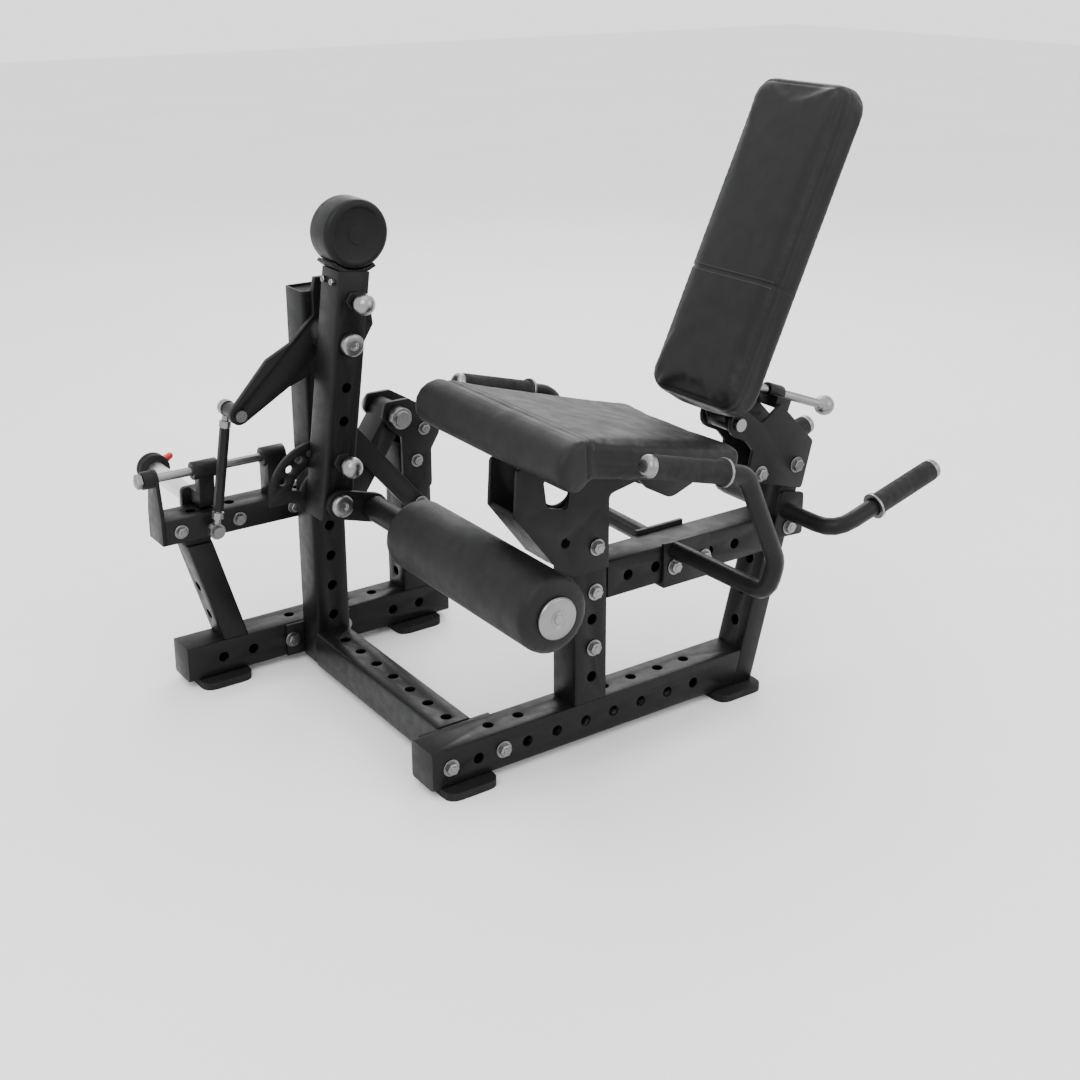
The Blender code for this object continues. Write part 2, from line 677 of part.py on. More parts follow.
def crank():
    """Plate that the leg arm is pinned to; its limb pushes the link."""
    y, z = ARM_PIVOT
    outline = [(61, 578), (61, 612)] + arc(ARM_PIVOT, 85, 96, 0, 9)
    outline += [(y + 60, z - 40), (y + 10, z - 38), (40, 483), (15, 474)]
    outline += arc(CRANK_TIP, 15, -58, -218, 6) + [(-18, 520), (22, 540)]
    hub = cylinder("x", ARM_PIVOT, 24, CRANK_X[1] - 1, ARM_X[0] - 1, 14)
    boss = bore_tool("x", CRANK_TIP, 11, LINK_X[1] + GAP, CRANK_X[0] + 1)
    holes = [bore_tool("x", ARM_PIVOT, SHAFT + 2, -600, -300)]
    holes.append(bore_tool("x", CRANK_TIP, LINK_BOLT + GAP, -600, -300, 12))
    lean = 90 - arm_angle() * 180 / pi
    for step in range(6):
        holes.append(cylinder("x", polar(ARM_PIVOT, PIN_REACH, lean - 14 * step), PIN + 0.8, -600, -300, 8))
    solids = [prism(outline, "x", *CRANK_X), hub, boss]
    part("crank", black_paint(), solids, (), holes, on_x(ARM_PIVOT))
    bush = cylinder("x", ARM_PIVOT, SHAFT + 2 - GAP, CRANK_X[0], ARM_X[0] - 1, 14)
    bore = bore_tool("x", ARM_PIVOT, SHAFT + GAP, -600, -300)
    part("crank_bush", bronze(), [bush], (), [bore], on_x(ARM_PIVOT))
    profile = [(0, 0), (0, 9), (6, 9), (6, LINK_BOLT), (61.6, LINK_BOLT), (61.6, 9), (67, 9), (67, 0)]
    start = (CRANK_X[1] + GAP + 6, *CRANK_TIP)
    part("link_bolt_upper", bright_steel(), [turned(start, (-1, 0, 0), profile)], smooth=True)


def leg_arm():
    """Square tube with pivots, pop-pin sleeves and a curved saddle for the counterweight."""
    y, z = ANKLE_PIVOT
    lean = arm_angle()
    length = hypot(ARM_PIVOT[0] - y, ARM_PIVOT[1] - z)
    depth = (y - ARM_DEPTH / 2, y + ARM_DEPTH / 2)
    top = z + 349
    solids = [leaned(prism(tube_profile(ARM_X, depth), "z", z - 26, top), ANKLE_PIVOT, lean)]
    disc = (y, z + 403)
    saddle = arc(disc, 58, -128, -52, 6) + arc(disc, 52.5, -52, -128, 6)
    solids.append(leaned(prism(saddle, "x", ARM_X[0] + 4, ARM_X[1] - 4), ANKLE_PIVOT, lean))
    sleeves = [(y, z + PIN_REACH), (y, z + length + PIN_REACH)]
    for place in sleeves:
        solids.append(leaned(cylinder("x", place, 11, ARM_X[1] - 1, ARM_X[1] + 9), ANKLE_PIVOT, lean))
    low = (depth[0] + WALL, depth[1] - WALL)
    inner = leaned(block((ARM_X[0] + WALL, ARM_X[1] - WALL), low, (z - 60, top - 4)), ANKLE_PIVOT, lean)
    holes = [bore_tool("x", (y, z + length), SHAFT + GAP, -500, -300)]
    holes.append(bore_tool("x", ANKLE_PIVOT, ANKLE_SHAFT + GAP, -500, -300))
    holes += [bore_tool("x", place, PIN + GAP, -500, -300, 8) for place in sleeves]
    holes += [cylinder("x", (y, z + up), HOLE, -500, -300, 8) for up in (126, 176.8)]
    for mesh in holes:
        leaned(mesh, ANKLE_PIVOT, lean)
    part("leg_arm", black_paint(), solids, [inner], holes, on_x(ARM_PIVOT))
    weight = leaned(turned((ARM_X[0] + 1, *disc), (1, 0, 0), [(0, 0), (0, 44), (3, 50), (8, 51.5), (48, 51.5),
                    (53, 50), (56, 44), (56, 0)], 22), ANKLE_PIVOT, lean)
    part("counterweight", black_paint(), [weight], smooth=True)
    pins = (("upper_pin", sleeves[1], CRANK_X[1]), ("lower_pin", sleeves[0], QUADRANT_X[1]))
    for name, place, face in pins:
        start = face + 0.5
        reach = ARM_X[1] + 20 - start
        profile = [(0, 4.5), (2, PIN), (reach, PIN)] + ball_profile(reach + 14, BALL, PIN)
        mesh = leaned(turned((start, *place), (1, 0, 0), profile, 10), ANKLE_PIVOT, lean)
        part(name, bright_steel(), [mesh], smooth=True)


def roller_carrier():
    lean = 90 - arm_angle() * 180 / pi
    fan = arc(ANKLE_PIVOT, 82, lean - 10, 186, 14) + arc(ANKLE_PIVOT, 22, 200, lean + 268, 8)
    window = arc(ANKLE_PIVOT, 47, 100, 168, 6) + arc(ANKLE_PIVOT, 30, 168, 100, 6)
    holes = [bore_tool("x", ANKLE_PIVOT, ANKLE_SHAFT + GAP, -500, -300)]
    for step in range(5):
        holes.append(cylinder("x", polar(ANKLE_PIVOT, PIN_REACH, lean + 18 * step), PIN + 0.8, -500, -300, 8))
    solids = [prism(fan, "x", *QUADRANT_X)]
    part("quadrant", black_paint(), solids, [prism(window, "x", -450, -350)], holes, on_x(ANKLE_PIVOT))
    tilt = atan2(ROLLER_AXIS[1] - ANKLE_PIVOT[1], ROLLER_AXIS[0] - ANKLE_PIVOT[0]) * 180 / pi
    ends = arc(ANKLE_PIVOT, 22.5, tilt + 90, tilt + 270, 8) + arc(ROLLER_AXIS, 22.5, tilt - 90, tilt + 90, 8)
    bore = bore_tool("x", ANKLE_PIVOT, ANKLE_SHAFT + GAP, -500, -300)
    part("carrier_bar", black_paint(), [prism(ends, "x", *CARRIER_X)], (), [bore], on_x(ANKLE_PIVOT))
    start = QUADRANT_X[0] - GAP - 9
    cap = CARRIER_X[1] + GAP - start
    profile = [(0, 0), (0, 17), (9, 17), (9, ANKLE_SHAFT), (cap, ANKLE_SHAFT), (cap, 17), (cap + 8, 17),
               (cap + 10, 14), (cap + 10, 0)]
    part("ankle_shaft", bright_steel(), [turned((start, *ANKLE_PIVOT), (1, 0, 0), profile, 14)], smooth=True)


def roller():
    start = CARRIER_X[1] + GAP
    reach = ROLLER_X[1] - start
    collar = ROLLER_X[0] - 1 - start
    profile = [(0, 0), (0, AXLE), (collar - 7, AXLE), (collar - 7, 27), (collar, 27), (collar, AXLE)]
    profile += [(reach, AXLE), (reach, 0)]
    part("roller_axle", black_paint(), [turned((start, *ROLLER_AXIS), (1, 0, 0), profile, 14)], smooth=True)
    width = ROLLER_X[1] - ROLLER_X[0]
    profile = [(0, 0), (0, 42), (4, 50), (12, ROLLER)]
    profile += [(width - 12, ROLLER), (width - 4, 50), (width, 42), (width, 0)]
    pad = turned((ROLLER_X[0], *ROLLER_AXIS), (1, 0, 0), profile, 18)
    bore = cylinder("x", ROLLER_AXIS, AXLE + 0.6, ROLLER_X[0] - 5, ROLLER_X[1] + 5, 14)
    part("roller_pad", black_vinyl(), [pad], (), [bore], on_x(ROLLER_AXIS), smooth=True)
    cap = [(0, 0), (0, 29), (4, 29), (7, 25), (7, 0)]
    disc = turned((ROLLER_X[1] + 0.5, *ROLLER_AXIS), (1, 0, 0), cap, 16)
    part("roller_end_cap", bright_steel(), [disc], smooth=True)


# ---- link and weight lever ------------------------------------------------------------------
def link():
    """Two rod eyes screwed into a hexagonal turnbuckle."""
    middle = (LINK_X[0] + LINK_X[1]) / 2
    top = Vector((middle, *CRANK_TIP))
    foot = Vector((middle, *LINK_FOOT))
    for name, eye, other in (("link_eye_upper", top, foot), ("link_eye_lower", foot, top)):
        along = (other - eye).normalized()
        ring = cylinder("x", (eye.y, eye.z), 12.5, *LINK_X)
        profile = [(0, 5.5), (12, 5.5), (12, 9), (22, 9), (22, 5.5), (46, 5.5)]
        shank = turned(eye + along * 8, along, profile, 12)
        bore = bore_tool("x", (eye.y, eye.z), LINK_BOLT + GAP, -600, -400, 12)
        part(name, bright_steel(), [ring, shank], (), [bore], tuple(eye))
    along = (foot - top).normalized()
    length = (foot - top).length
    body = turned(top + along * 32, along, [(0, 8), (length - 64, 8)], 6)
    bore = drill(top + along * 20, along, 5.5 + GAP, length - 40)
    part("link_turnbuckle", black_paint(), [body], [bore])
    profile = [(0, 0), (0, 9), (6, 9), (6, LINK_BOLT), (35.1, LINK_BOLT), (35.1, 0)]
    start = (LINK_X[1] + GAP + 6, *LINK_FOOT)
    part("link_bolt_lower", bright_steel(), [turned(start, (-1, 0, 0), profile, 12)], smooth=True)


def weight_lever():
    """Beam that carries the weights, with a riser up to the hub it swings on."""
    outline = [(-164, LEVER_Z[0]), (168, LEVER_Z[0]), (252, 358), (214, 370), (148, LEVER_Z[1]),
               (-164, LEVER_Z[1])]
    solids = [prism(outline, "x", *LEVER_X), cylinder("x", LEVER_PIVOT, 20, LEVER_X[0], LEVER_X[1], 14)]
    inner = block((LEVER_X[0] + WALL, LEVER_X[1] - WALL), (-200, 140), (LEVER_Z[0] + WALL, LEVER_Z[1] - WALL))
    holes = [bore_tool("x", LEVER_PIVOT, LEVER_SHAFT + 2, -600, -400)]
    holes += [cylinder("z", (-524, y), HOLE, LEVER_Z[1] - 10, LEVER_Z[1] + 10, 8) for y in (-113, -50, 68)]
    part("weight_lever", black_paint(), solids, [inner], holes, on_x(LEVER_PIVOT))
    bush = cylinder("x", LEVER_PIVOT, LEVER_SHAFT + 2 - GAP, LEVER_X[0], LEVER_X[1], 14)
    bore = bore_tool("x", LEVER_PIVOT, LEVER_SHAFT + GAP, -600, -400)
    part("lever_bush", bronze(), [bush], (), [bore], on_x(LEVER_PIVOT))
    plates = (FAR_X[0] + 0.5 - PLATE - GAP, FAR_X[1] - 0.5 + PLATE + GAP)
    inside = plates[1] - plates[0]
    profile = [(0, 0), (0, 18), (20, 18), (20, LEVER_SHAFT), (20 + inside, LEVER_SHAFT), (20 + inside, 18),
               (38 + inside, 18), (38 + inside, 13), (42 + inside, 13), (42 + inside, 0)]
    start = (plates[0] - 20, *LEVER_PIVOT)
    part("lever_shaft", bright_steel(), [turned(start, (1, 0, 0), profile, 14)], smooth=True)


def guide_rod():
    """Rod above the lever between an end plate and a rear block."""
    x, z = ROD_AXIS
    plate = [(LEVER_X[0], LEVER_Z[0]), (LEVER_X[1], LEVER_Z[0]), (LEVER_X[1], 278)]
    plate += arc(ROD_AXIS, 15, 10, 170, 8) + [(LEVER_X[0], 278)]
    front = -164 - GAP
    solids = [prism(plate, "y", front - PLATE, front), cylinder("y", ROD_AXIS, 14, -186, front - 1)]
    bore = bore_tool("y", ROD_AXIS, 6.75 + GAP, -300, -100)
    part("rod_end_plate", black_paint(), solids, (), [bore])
    profile = [(0, 0), (0, 11), (10, 11), (10, 6.75), (230, 6.75), (230, 0)]
    part("guide_rod", bright_steel(), [turned((x, -196.5, z), (0, 1, 0), profile)], smooth=True)
    base = block((x - 16, x + 16), (12, 42), (LEVER_Z[1] + GAP, z))
    boss = cylinder("y", ROD_AXIS, 15.5, 8, 45)
    bore = bore_tool("y", ROD_AXIS, 6.75 + GAP, 0, 38)
    part("rod_rear_block", black_paint(), [boss, base], [bore])


def carriage():
    """Slide on the guide rod with a side plate that carries the weight horn."""
    x, z = ROD_AXIS
    y = HORN_AXIS[0]
    low = LEVER_Z[1] + 4
    face = LEVER_X[0] - 5
    solids = [cylinder("y", ROD_AXIS, 14.5, y - 20, y + 20)]
    solids.append(block((x - 9, x + 9), (y - 12, y + 12), (low, z)))
    solids.append(block((face - 9, x + 9), (y - 13, y + 13), (low, low + 22)))
    solids.append(prism(rounded(rectangle((y - 26, y + 26), (236, low + 22)), 9), "x", face - 10, face))
    bore = bore_tool("y", ROD_AXIS, 6.75 + GAP, y - 60, y + 60)
    part("carriage", black_paint(), solids, [bore])
    length = 770 + face - 10 - GAP
    profile = [(0, 0), (0, 26), (6, 26), (6, 14.5), (length - 9, 14.5), (length - 9, 16.5)]
    profile += [(length - 1, 16.5), (length, 15), (length, 0)]
    start = (face - 10 - GAP, *HORN_AXIS)
    part("weight_horn", bright_steel(), [turned(start, (-1, 0, 0), profile, 14)], smooth=True)
    ring = turned((-755, *HORN_AXIS), (1, 0, 0), [(0, 0), (0, 23), (2, 25), (20, 25), (22, 23), (22, 0)], 14)
    bore = bore_tool("x", HORN_AXIS, 14.5 + GAP, -800, -700)
    tab = block((-751, -737), (y - 6, y + 6), (HORN_AXIS[1] + 20, HORN_AXIS[1] + 40))
    leaned(tab, HORN_AXIS, radians(-60))
    part("horn_collar", red_plastic(), [ring, tab], (), [bore], smooth=True)


def main():
    for thing in list(bpy.data.objects):
        bpy.data.objects.remove(thing, do_unlink=True)
    main_rail()
    cross_beam()
    tower_column()
    far_rail()
    far_upright()
    rest_strut()
    diagonal_brace()
    seat_upright()
    mid_beam()
    rear_post()
    head_plates()
    feet()
    seat_pad()
    seat_bracket()
    backrest_pad()
    backrest_frame()
    backrest_pin()
    side_handles()
    rear_handles()
    main_shaft()
    crank()
    leg_arm()
    roller_carrier()
    roller()
    link()
    weight_lever()
    guide_rod()
    carriage()


main()
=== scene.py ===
import json
from math import asin, atan2, cos, pi, radians, sin, tan

import bmesh
import bpy
from mathutils import Matrix, Vector
from mathutils.bvhtree import BVHTree


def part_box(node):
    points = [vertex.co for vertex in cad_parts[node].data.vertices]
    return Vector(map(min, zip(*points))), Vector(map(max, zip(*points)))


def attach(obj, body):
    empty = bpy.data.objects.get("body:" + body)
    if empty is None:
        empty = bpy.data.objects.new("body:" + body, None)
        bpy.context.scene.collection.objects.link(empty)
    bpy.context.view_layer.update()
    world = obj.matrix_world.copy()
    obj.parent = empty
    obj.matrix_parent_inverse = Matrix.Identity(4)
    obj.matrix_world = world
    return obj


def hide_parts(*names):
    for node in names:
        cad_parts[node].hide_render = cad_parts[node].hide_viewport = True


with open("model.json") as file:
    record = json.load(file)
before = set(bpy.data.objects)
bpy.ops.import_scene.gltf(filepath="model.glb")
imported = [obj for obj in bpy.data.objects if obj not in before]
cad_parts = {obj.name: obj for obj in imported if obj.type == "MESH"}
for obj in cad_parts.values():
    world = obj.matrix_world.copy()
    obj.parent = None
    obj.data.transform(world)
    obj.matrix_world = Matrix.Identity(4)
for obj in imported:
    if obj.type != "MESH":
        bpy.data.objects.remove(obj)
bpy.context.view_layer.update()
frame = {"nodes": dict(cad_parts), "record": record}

MM = 0.001
RAIL_LOW, RAIL_HIGH = (Vector(corner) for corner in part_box("main_rail"))
BENCH = Vector((RAIL_HIGH.x, RAIL_LOW.y, RAIL_LOW.z))   # outer lower front corner of the main rail

# Places below are millimetres from that corner: x to the right, y backwards, z up.
TUBE = 57.0                                  # square tube across
CLEAR = 7                                    # a hole cutter starts this far outside its tube
PITCH = 50.8                                 # hole to hole
HOLE = 8.25                                  # hole radius
ROUND = 40                                   # sides of a finely turned piece
ARM_PIVOT = (74.5, 550.0)                    # pivots as (y, z)
ANKLE_PIVOT = (44.0, 309.0)
LEVER_PIVOT = (234.0, 370.0)
ROLLER_AXIS = (99.8, 292.5)
BACK_HINGE = (529.0, 432.0)
ROD_AXIS = (-524.0, 336.0)                   # (x, z)
HORN_AXIS = (-87.0, 272.0)
ARM_FACE = -335.0                            # outer face of the leg arm
CRANK_FACE = -421.0                          # the upper pop pin rests just short of this plate
QUADRANT_FACE = -396.0                       # and the lower one just short of this
LEVER_FACE = -497.0                          # side of the weight lever
PLATE_FACE = 6.4                             # outer face of the plates on the rail's side
HORN_ROOT = -566.3                           # where the horn leaves the carriage
PIN_REACH = 65.0                             # pop pin to pivot
ARM_LENGTH = 242.9                           # pivot to pivot
KNOB = 16.0                                  # ball knob radius
PIN = 6.0                                    # pop pin radius
RIGHT = (1, 0, 0)
CENTRE_X = -28.5
SEAT_TILT = radians(14.8)
SEAT_FRONT = (146.0, 517.0)
SEAT_THICK = 48.0
SEAT_ROLL = 36.0
SEAT_LENGTH = 322.0
SEAT_HALF = (183.0, 135.0)
BACK_LEAN = radians(65.0)
BACK_RUN = (4.0, 506.0)
BACK_DEPTH = (38.5, 88.0)
BACK_HALF = 100.0
BACK_SEAM = 200.0                            # cross seam, from the hinge along the pad
BACK_CORNER = 38.0
VOXEL = 0.0055                               # metres, cushion mesh
SOFT_EDGE = 9                                # rounding of a cushion blank
SWELL = 4                                    # furthest a cushion may swell
CLOTH_STEPS = 20
BELL = 2.718                                 # base of a groove's bell-shaped section
WELD = 0.00001                               # metres


def at(x, y, z):
    """World place of a point given in millimetres from the rail's corner."""
    return BENCH + Vector((x, y, z)) * MM


# ---- shader building ------------------------------------------------------------------------
class Shader:
    """A small helper that wires procedural nodes into one Principled material."""

    def __init__(self, name, color, roughness, metallic=0.0, **sockets):
        self.material = bpy.data.materials.new(name)
        self.material.use_nodes = True
        self.nodes = self.material.node_tree.nodes
        self.links = self.material.node_tree.links
        self.shader = self.nodes["Principled BSDF"]
        self.shader.inputs["Base Color"].default_value = (*color, 1)
        self.shader.inputs["Roughness"].default_value = roughness
        self.shader.inputs["Metallic"].default_value = metallic
        for socket, value in sockets.items():
            self.shader.inputs[socket.replace("_", " ")].default_value = value
        self.place = self.nodes.new("ShaderNodeTexCoord").outputs["Object"]
        self.height = None

    def stretched(self, scale):
        node = self.nodes.new("ShaderNodeMapping")
        node.inputs["Scale"].default_value = scale
        self.links.new(self.place, node.inputs["Vector"])
        return node.outputs["Vector"]

    def noise(self, scale, detail=4.0, rough=0.55, vector=None):
        node = self.nodes.new("ShaderNodeTexNoise")
        node.inputs["Scale"].default_value = scale
        node.inputs["Detail"].default_value = detail
        node.inputs["Roughness"].default_value = rough
        self.links.new(vector or self.place, node.inputs["Vector"])
        return node.outputs["Fac"]

    def cells(self, scale):
        node = self.nodes.new("ShaderNodeTexVoronoi")
        node.feature = "DISTANCE_TO_EDGE"
        node.inputs["Scale"].default_value = scale
        self.links.new(self.place, node.inputs["Vector"])
        return node.outputs["Distance"]

    def remap(self, value, low, high, to_low, to_high):
        node = self.nodes.new("ShaderNodeMapRange")
        limits = {"From Min": low, "From Max": high, "To Min": to_low, "To Max": to_high}
        for socket, number in limits.items():
            node.inputs[socket].default_value = number
        self.links.new(value, node.inputs["Value"])
        return node.outputs["Result"]

    def color(self, value, stops):
        node = self.nodes.new("ShaderNodeValToRGB")
        ramp = node.color_ramp
        while len(ramp.elements) < len(stops):
            ramp.elements.new(0.5)
        for element, (position, shade) in zip(ramp.elements, stops):
            element.position = position
            element.color = (*shade, 1)
        self.links.new(value, node.inputs["Fac"])
        self.links.new(node.outputs["Color"], self.shader.inputs["Base Color"])

    def rough(self, value, low, high, to_low, to_high):
        self.links.new(self.remap(value, low, high, to_low, to_high), self.shader.inputs["Roughness"])

    def bump(self, value, distance, strength=1.0):
        node = self.nodes.new("ShaderNodeBump")
        node.inputs["Strength"].default_value = strength
        node.inputs["Distance"].default_value = distance
        self.links.new(value, node.inputs["Height"])
        if self.height:
            self.links.new(self.height, node.inputs["Normal"])
        self.height = node.outputs["Normal"]
        self.links.new(self.height, self.shader.inputs["Normal"])


def powder_coat():
    made = Shader("powder_coat", (0.0045, 0.0045, 0.0045), 0.42, Specular_IOR_Level=0.17)
    patches = made.noise(9, 5, 0.6)
    made.color(patches, [(0.3, (0.003, 0.003, 0.0032)), (0.7, (0.006, 0.006, 0.0064))])
    made.rough(made.noise(60, 3), 0.3, 0.7, 0.34, 0.48)
    made.bump(made.noise(1100, 3, 0.6), 0.00022, 0.55)
    made.bump(made.noise(260, 2), 0.0003, 0.25)
    return made.material


def plated_steel(name, shade):
    made = Shader(name, (shade, shade, shade), 0.3, 1.0)
    brushed = made.noise(1.0, 5, 0.6, made.stretched((40, 900, 900)))
    made.color(made.noise(14, 4), [(0.3, (shade * 0.85,) * 3), (0.7, (shade * 1.15,) * 3)])
    made.rough(brushed, 0.3, 0.7, 0.24, 0.38)
    made.bump(brushed, 0.00005, 0.35)
    return made.material


def vinyl():
    made = Shader("vinyl", (0.005, 0.005, 0.005), 0.45, Specular_IOR_Level=0.18)
    grain = made.cells(620)
    made.color(made.noise(7, 4), [(0.3, (0.004, 0.004, 0.0042)), (0.7, (0.0075, 0.0075, 0.008))])
    made.rough(made.noise(35, 4), 0.3, 0.7, 0.38, 0.54)
    made.bump(made.remap(grain, 0.0, 0.12, 0.0, 1.0), 0.00016, 0.5)
    made.bump(made.noise(70, 4, 0.6), 0.0009, 0.28)
    return made.material


def rubber(name, scale=900, shade=0.018):
    made = Shader(name, (shade, shade, shade), 0.7, Specular_IOR_Level=0.22)
    made.color(made.noise(20, 5), [(0.3, (shade * 0.8,) * 3), (0.7, (shade * 1.35,) * 3)])
    made.rough(made.noise(90, 3), 0.3, 0.7, 0.58, 0.82)
    made.bump(made.noise(scale, 3, 0.7), 0.0003, 0.6)
    return made.material


def red_plastic():
    made = Shader("red_plastic", (0.45, 0.012, 0.012), 0.3, Coat_Weight=0.2)
    made.color(made.noise(30, 4), [(0.3, (0.38, 0.010, 0.010)), (0.7, (0.52, 0.018, 0.016))])
    made.rough(made.noise(120, 3), 0.3, 0.7, 0.24, 0.4)
    made.bump(made.noise(700, 2), 0.0001, 0.3)
    return made.material


def bronze():
    made = Shader("bronze", (0.5, 0.31, 0.12), 0.3, 1.0)
    made.color(made.noise(40, 4), [(0.3, (0.42, 0.25, 0.09)), (0.7, (0.58, 0.37, 0.16))])
    made.rough(made.noise(200, 3), 0.3, 0.7, 0.25, 0.42)
    made.bump(made.noise(900, 2), 0.0001, 0.3)
    return made.material


def thread():
    made = Shader("thread", (0.03, 0.03, 0.032), 0.6)
    twist = made.noise(1.0, 2, 0.5, made.stretched((2500, 2500, 2500)))
    made.color(twist, [(0.3, (0.022, 0.022, 0.024)), (0.7, (0.05, 0.05, 0.053))])
    made.bump(twist, 0.0002, 0.5)
    return made.material


PAINT = powder_coat()
STEEL = plated_steel("plated_steel", 0.21)
CHROME = plated_steel("chrome", 0.72)
VINYL = vinyl()
RUBBER = rubber("moulded_rubber", shade=0.006)
FOAM = rubber("foam_grip", 420, 0.007)
PLUG = rubber("tube_plug_plastic", 1500, 0.008)
RED = red_plastic()
BRONZE = bronze()
THREAD = thread()
SLOTS = {"black_paint": PAINT, "bright_steel": STEEL, "black_vinyl": VINYL, "black_rubber": RUBBER,
         "red_plastic": RED, "bronze": BRONZE}


# ---- mesh helpers ---------------------------------------------------------------------------
def finish_piece(name, mesh, look, body, nodes=(), sharp=32):
    """Turn a bmesh in world metres into a piece that rides on a body."""
    data = bpy.data.meshes.new(name)
    mesh.to_mesh(data)
    mesh.free()
    made = bpy.data.objects.new(name, data)
    bpy.context.scene.collection.objects.link(made)
    data.materials.append(look)
    data.shade_smooth()
    data.set_sharp_from_angle(angle=radians(sharp))
    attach(made, body)
    if nodes:
        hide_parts(*nodes)
    return made


def apply_modifiers(target):
    depsgraph = bpy.context.evaluated_depsgraph_get()
    data = bpy.data.meshes.new_from_object(target.evaluated_get(depsgraph))
    target.modifiers.clear()
    old = target.data
    target.data = data
    bpy.data.meshes.remove(old)


def turned_mesh(start, direction, profile, sides=ROUND):
    """A solid of revolution from (distance, radius) points in millimetres; start is a world place."""
    mesh = bmesh.new()
    along = Vector(direction).normalized()
    turn = along.to_track_quat("Z", "Y").to_matrix()
    rings = []
    for distance, radius in profile:
        centre = Vector(start) + along * distance * MM
        if radius == 0:
            rings.append([mesh.verts.new(centre)])
            continue
        spots = [Vector((cos(2 * pi * i / sides), sin(2 * pi * i / sides), 0)) for i in range(sides)]
        rings.append([mesh.verts.new(centre + turn @ spot * radius * MM) for spot in spots])
    for low, high in zip(rings, rings[1:]):
        for i in range(sides):
            j = (i + 1) % sides
            corners = [low[i % len(low)], low[j % len(low)], high[j % len(high)], high[i % len(high)]]
            mesh.faces.new(list(dict.fromkeys(corners)))
    for ring in (rings[0], rings[-1]):
        if len(ring) > 1:
            mesh.faces.new(ring)
    bmesh.ops.recalc_face_normals(mesh, faces=mesh.faces)
    return mesh


def eased(profile, size=0.8):
    """A turned profile with its outer corners chamfered by a small amount."""
    result = [profile[0]]
    for before, here, after in zip(profile, profile[1:], profile[2:]):
        back = Vector(before) - Vector(here)
        ahead = Vector(after) - Vector(here)
        reach = min(size, back.length * 0.4, ahead.length * 0.4)
        if back.length < 0.5 or ahead.length < 0.5:
            result.append(here)
            continue
        for step in (back.normalized(), ahead.normalized()):
            spot = Vector(here) + step * reach
            result.append((spot.x, spot.y))
    return result + [profile[-1]]


def turned_piece(name, start, direction, profile, look, body, nodes=(), sides=ROUND, size=0.8):
    mesh = turned_mesh(start, direction, eased(profile, size), sides)
    return finish_piece(name, mesh, look, body, nodes)


def ball(centre, radius, neck, steps=14):
    first = pi - asin(neck / radius)
    points = []
    for i in range(steps + 1):
        angle = first * (1 - i / steps)
        points.append((centre + radius * cos(angle), radius * sin(angle) if i < steps else 0))
    return points


def open_bore(mesh):
    """Replace the two end discs of a turned sleeve by its bore."""
    discs = [face for face in mesh.faces if len(face.verts) > 4]
    bmesh.ops.delete(mesh, geom=discs, context="FACES_ONLY")
    bmesh.ops.bridge_loops(mesh, edges=[edge for edge in mesh.edges if edge.is_boundary])


def joined(meshes):
    """Several shapes in one mesh."""
    result = bmesh.new()
    for mesh in meshes:
        data = bpy.data.meshes.new("shape")
        mesh.to_mesh(data)
        mesh.free()
        result.from_mesh(data)
        bpy.data.meshes.remove(data)
    return result


def refined(node, holes=(), edge=0.7):
    """A finer copy of a CAD node: round holes in place of faceted ones, and eased edges."""
    source = frame["nodes"][node]
    mesh = bmesh.new()
    mesh.from_mesh(source.data)
    bmesh.ops.remove_doubles(mesh, verts=mesh.verts, dist=WELD)
    bmesh.ops.dissolve_limit(mesh, angle_limit=radians(1), verts=mesh.verts, edges=mesh.edges)
    body = next(name for name, nodes in frame["record"]["behaviour"]["bodies"].items() if node in nodes)
    slot = next(part["material_slot"] for part in frame["record"]["subparts"] if part["node"] == node)
    made = finish_piece(f"{node}_finished", mesh, SLOTS[slot], body, (node,), 35)
    cutter = None
    if holes:
        tools = [turned_mesh(at(*start), direction, [(0, radius), (reach, radius)], 32)
                 for start, direction, radius, reach in holes]
        data = bpy.data.meshes.new("round_holes")
        tool_mesh = joined(tools)
        tool_mesh.to_mesh(data)
        tool_mesh.free()
        cutter = bpy.data.objects.new("round_holes", data)
        bpy.context.scene.collection.objects.link(cutter)
        step = made.modifiers.new("holes", "BOOLEAN")
        step.object = cutter
        step.solver = "EXACT"
    bevel = made.modifiers.new("edge", "BEVEL")
    bevel.width = edge * MM
    bevel.segments = 2
    bevel.limit_method = "ANGLE"
    bevel.angle_limit = radians(50)
    bevel.use_clamp_overlap = True
    apply_modifiers(made)
    if cutter:
        bpy.data.objects.remove(cutter, do_unlink=True)
    made.data.shade_smooth()
    made.data.set_sharp_from_angle(angle=radians(40))
    return made


def side_row(x, places):
    return [((x, y, z), (1, 0, 0), HOLE, TUBE + 2 * CLEAR) for y, z in places]


def top_row(z, places):
    return [((x, y, z), (0, 0, 1), HOLE, TUBE + 2 * CLEAR) for x, y in places]


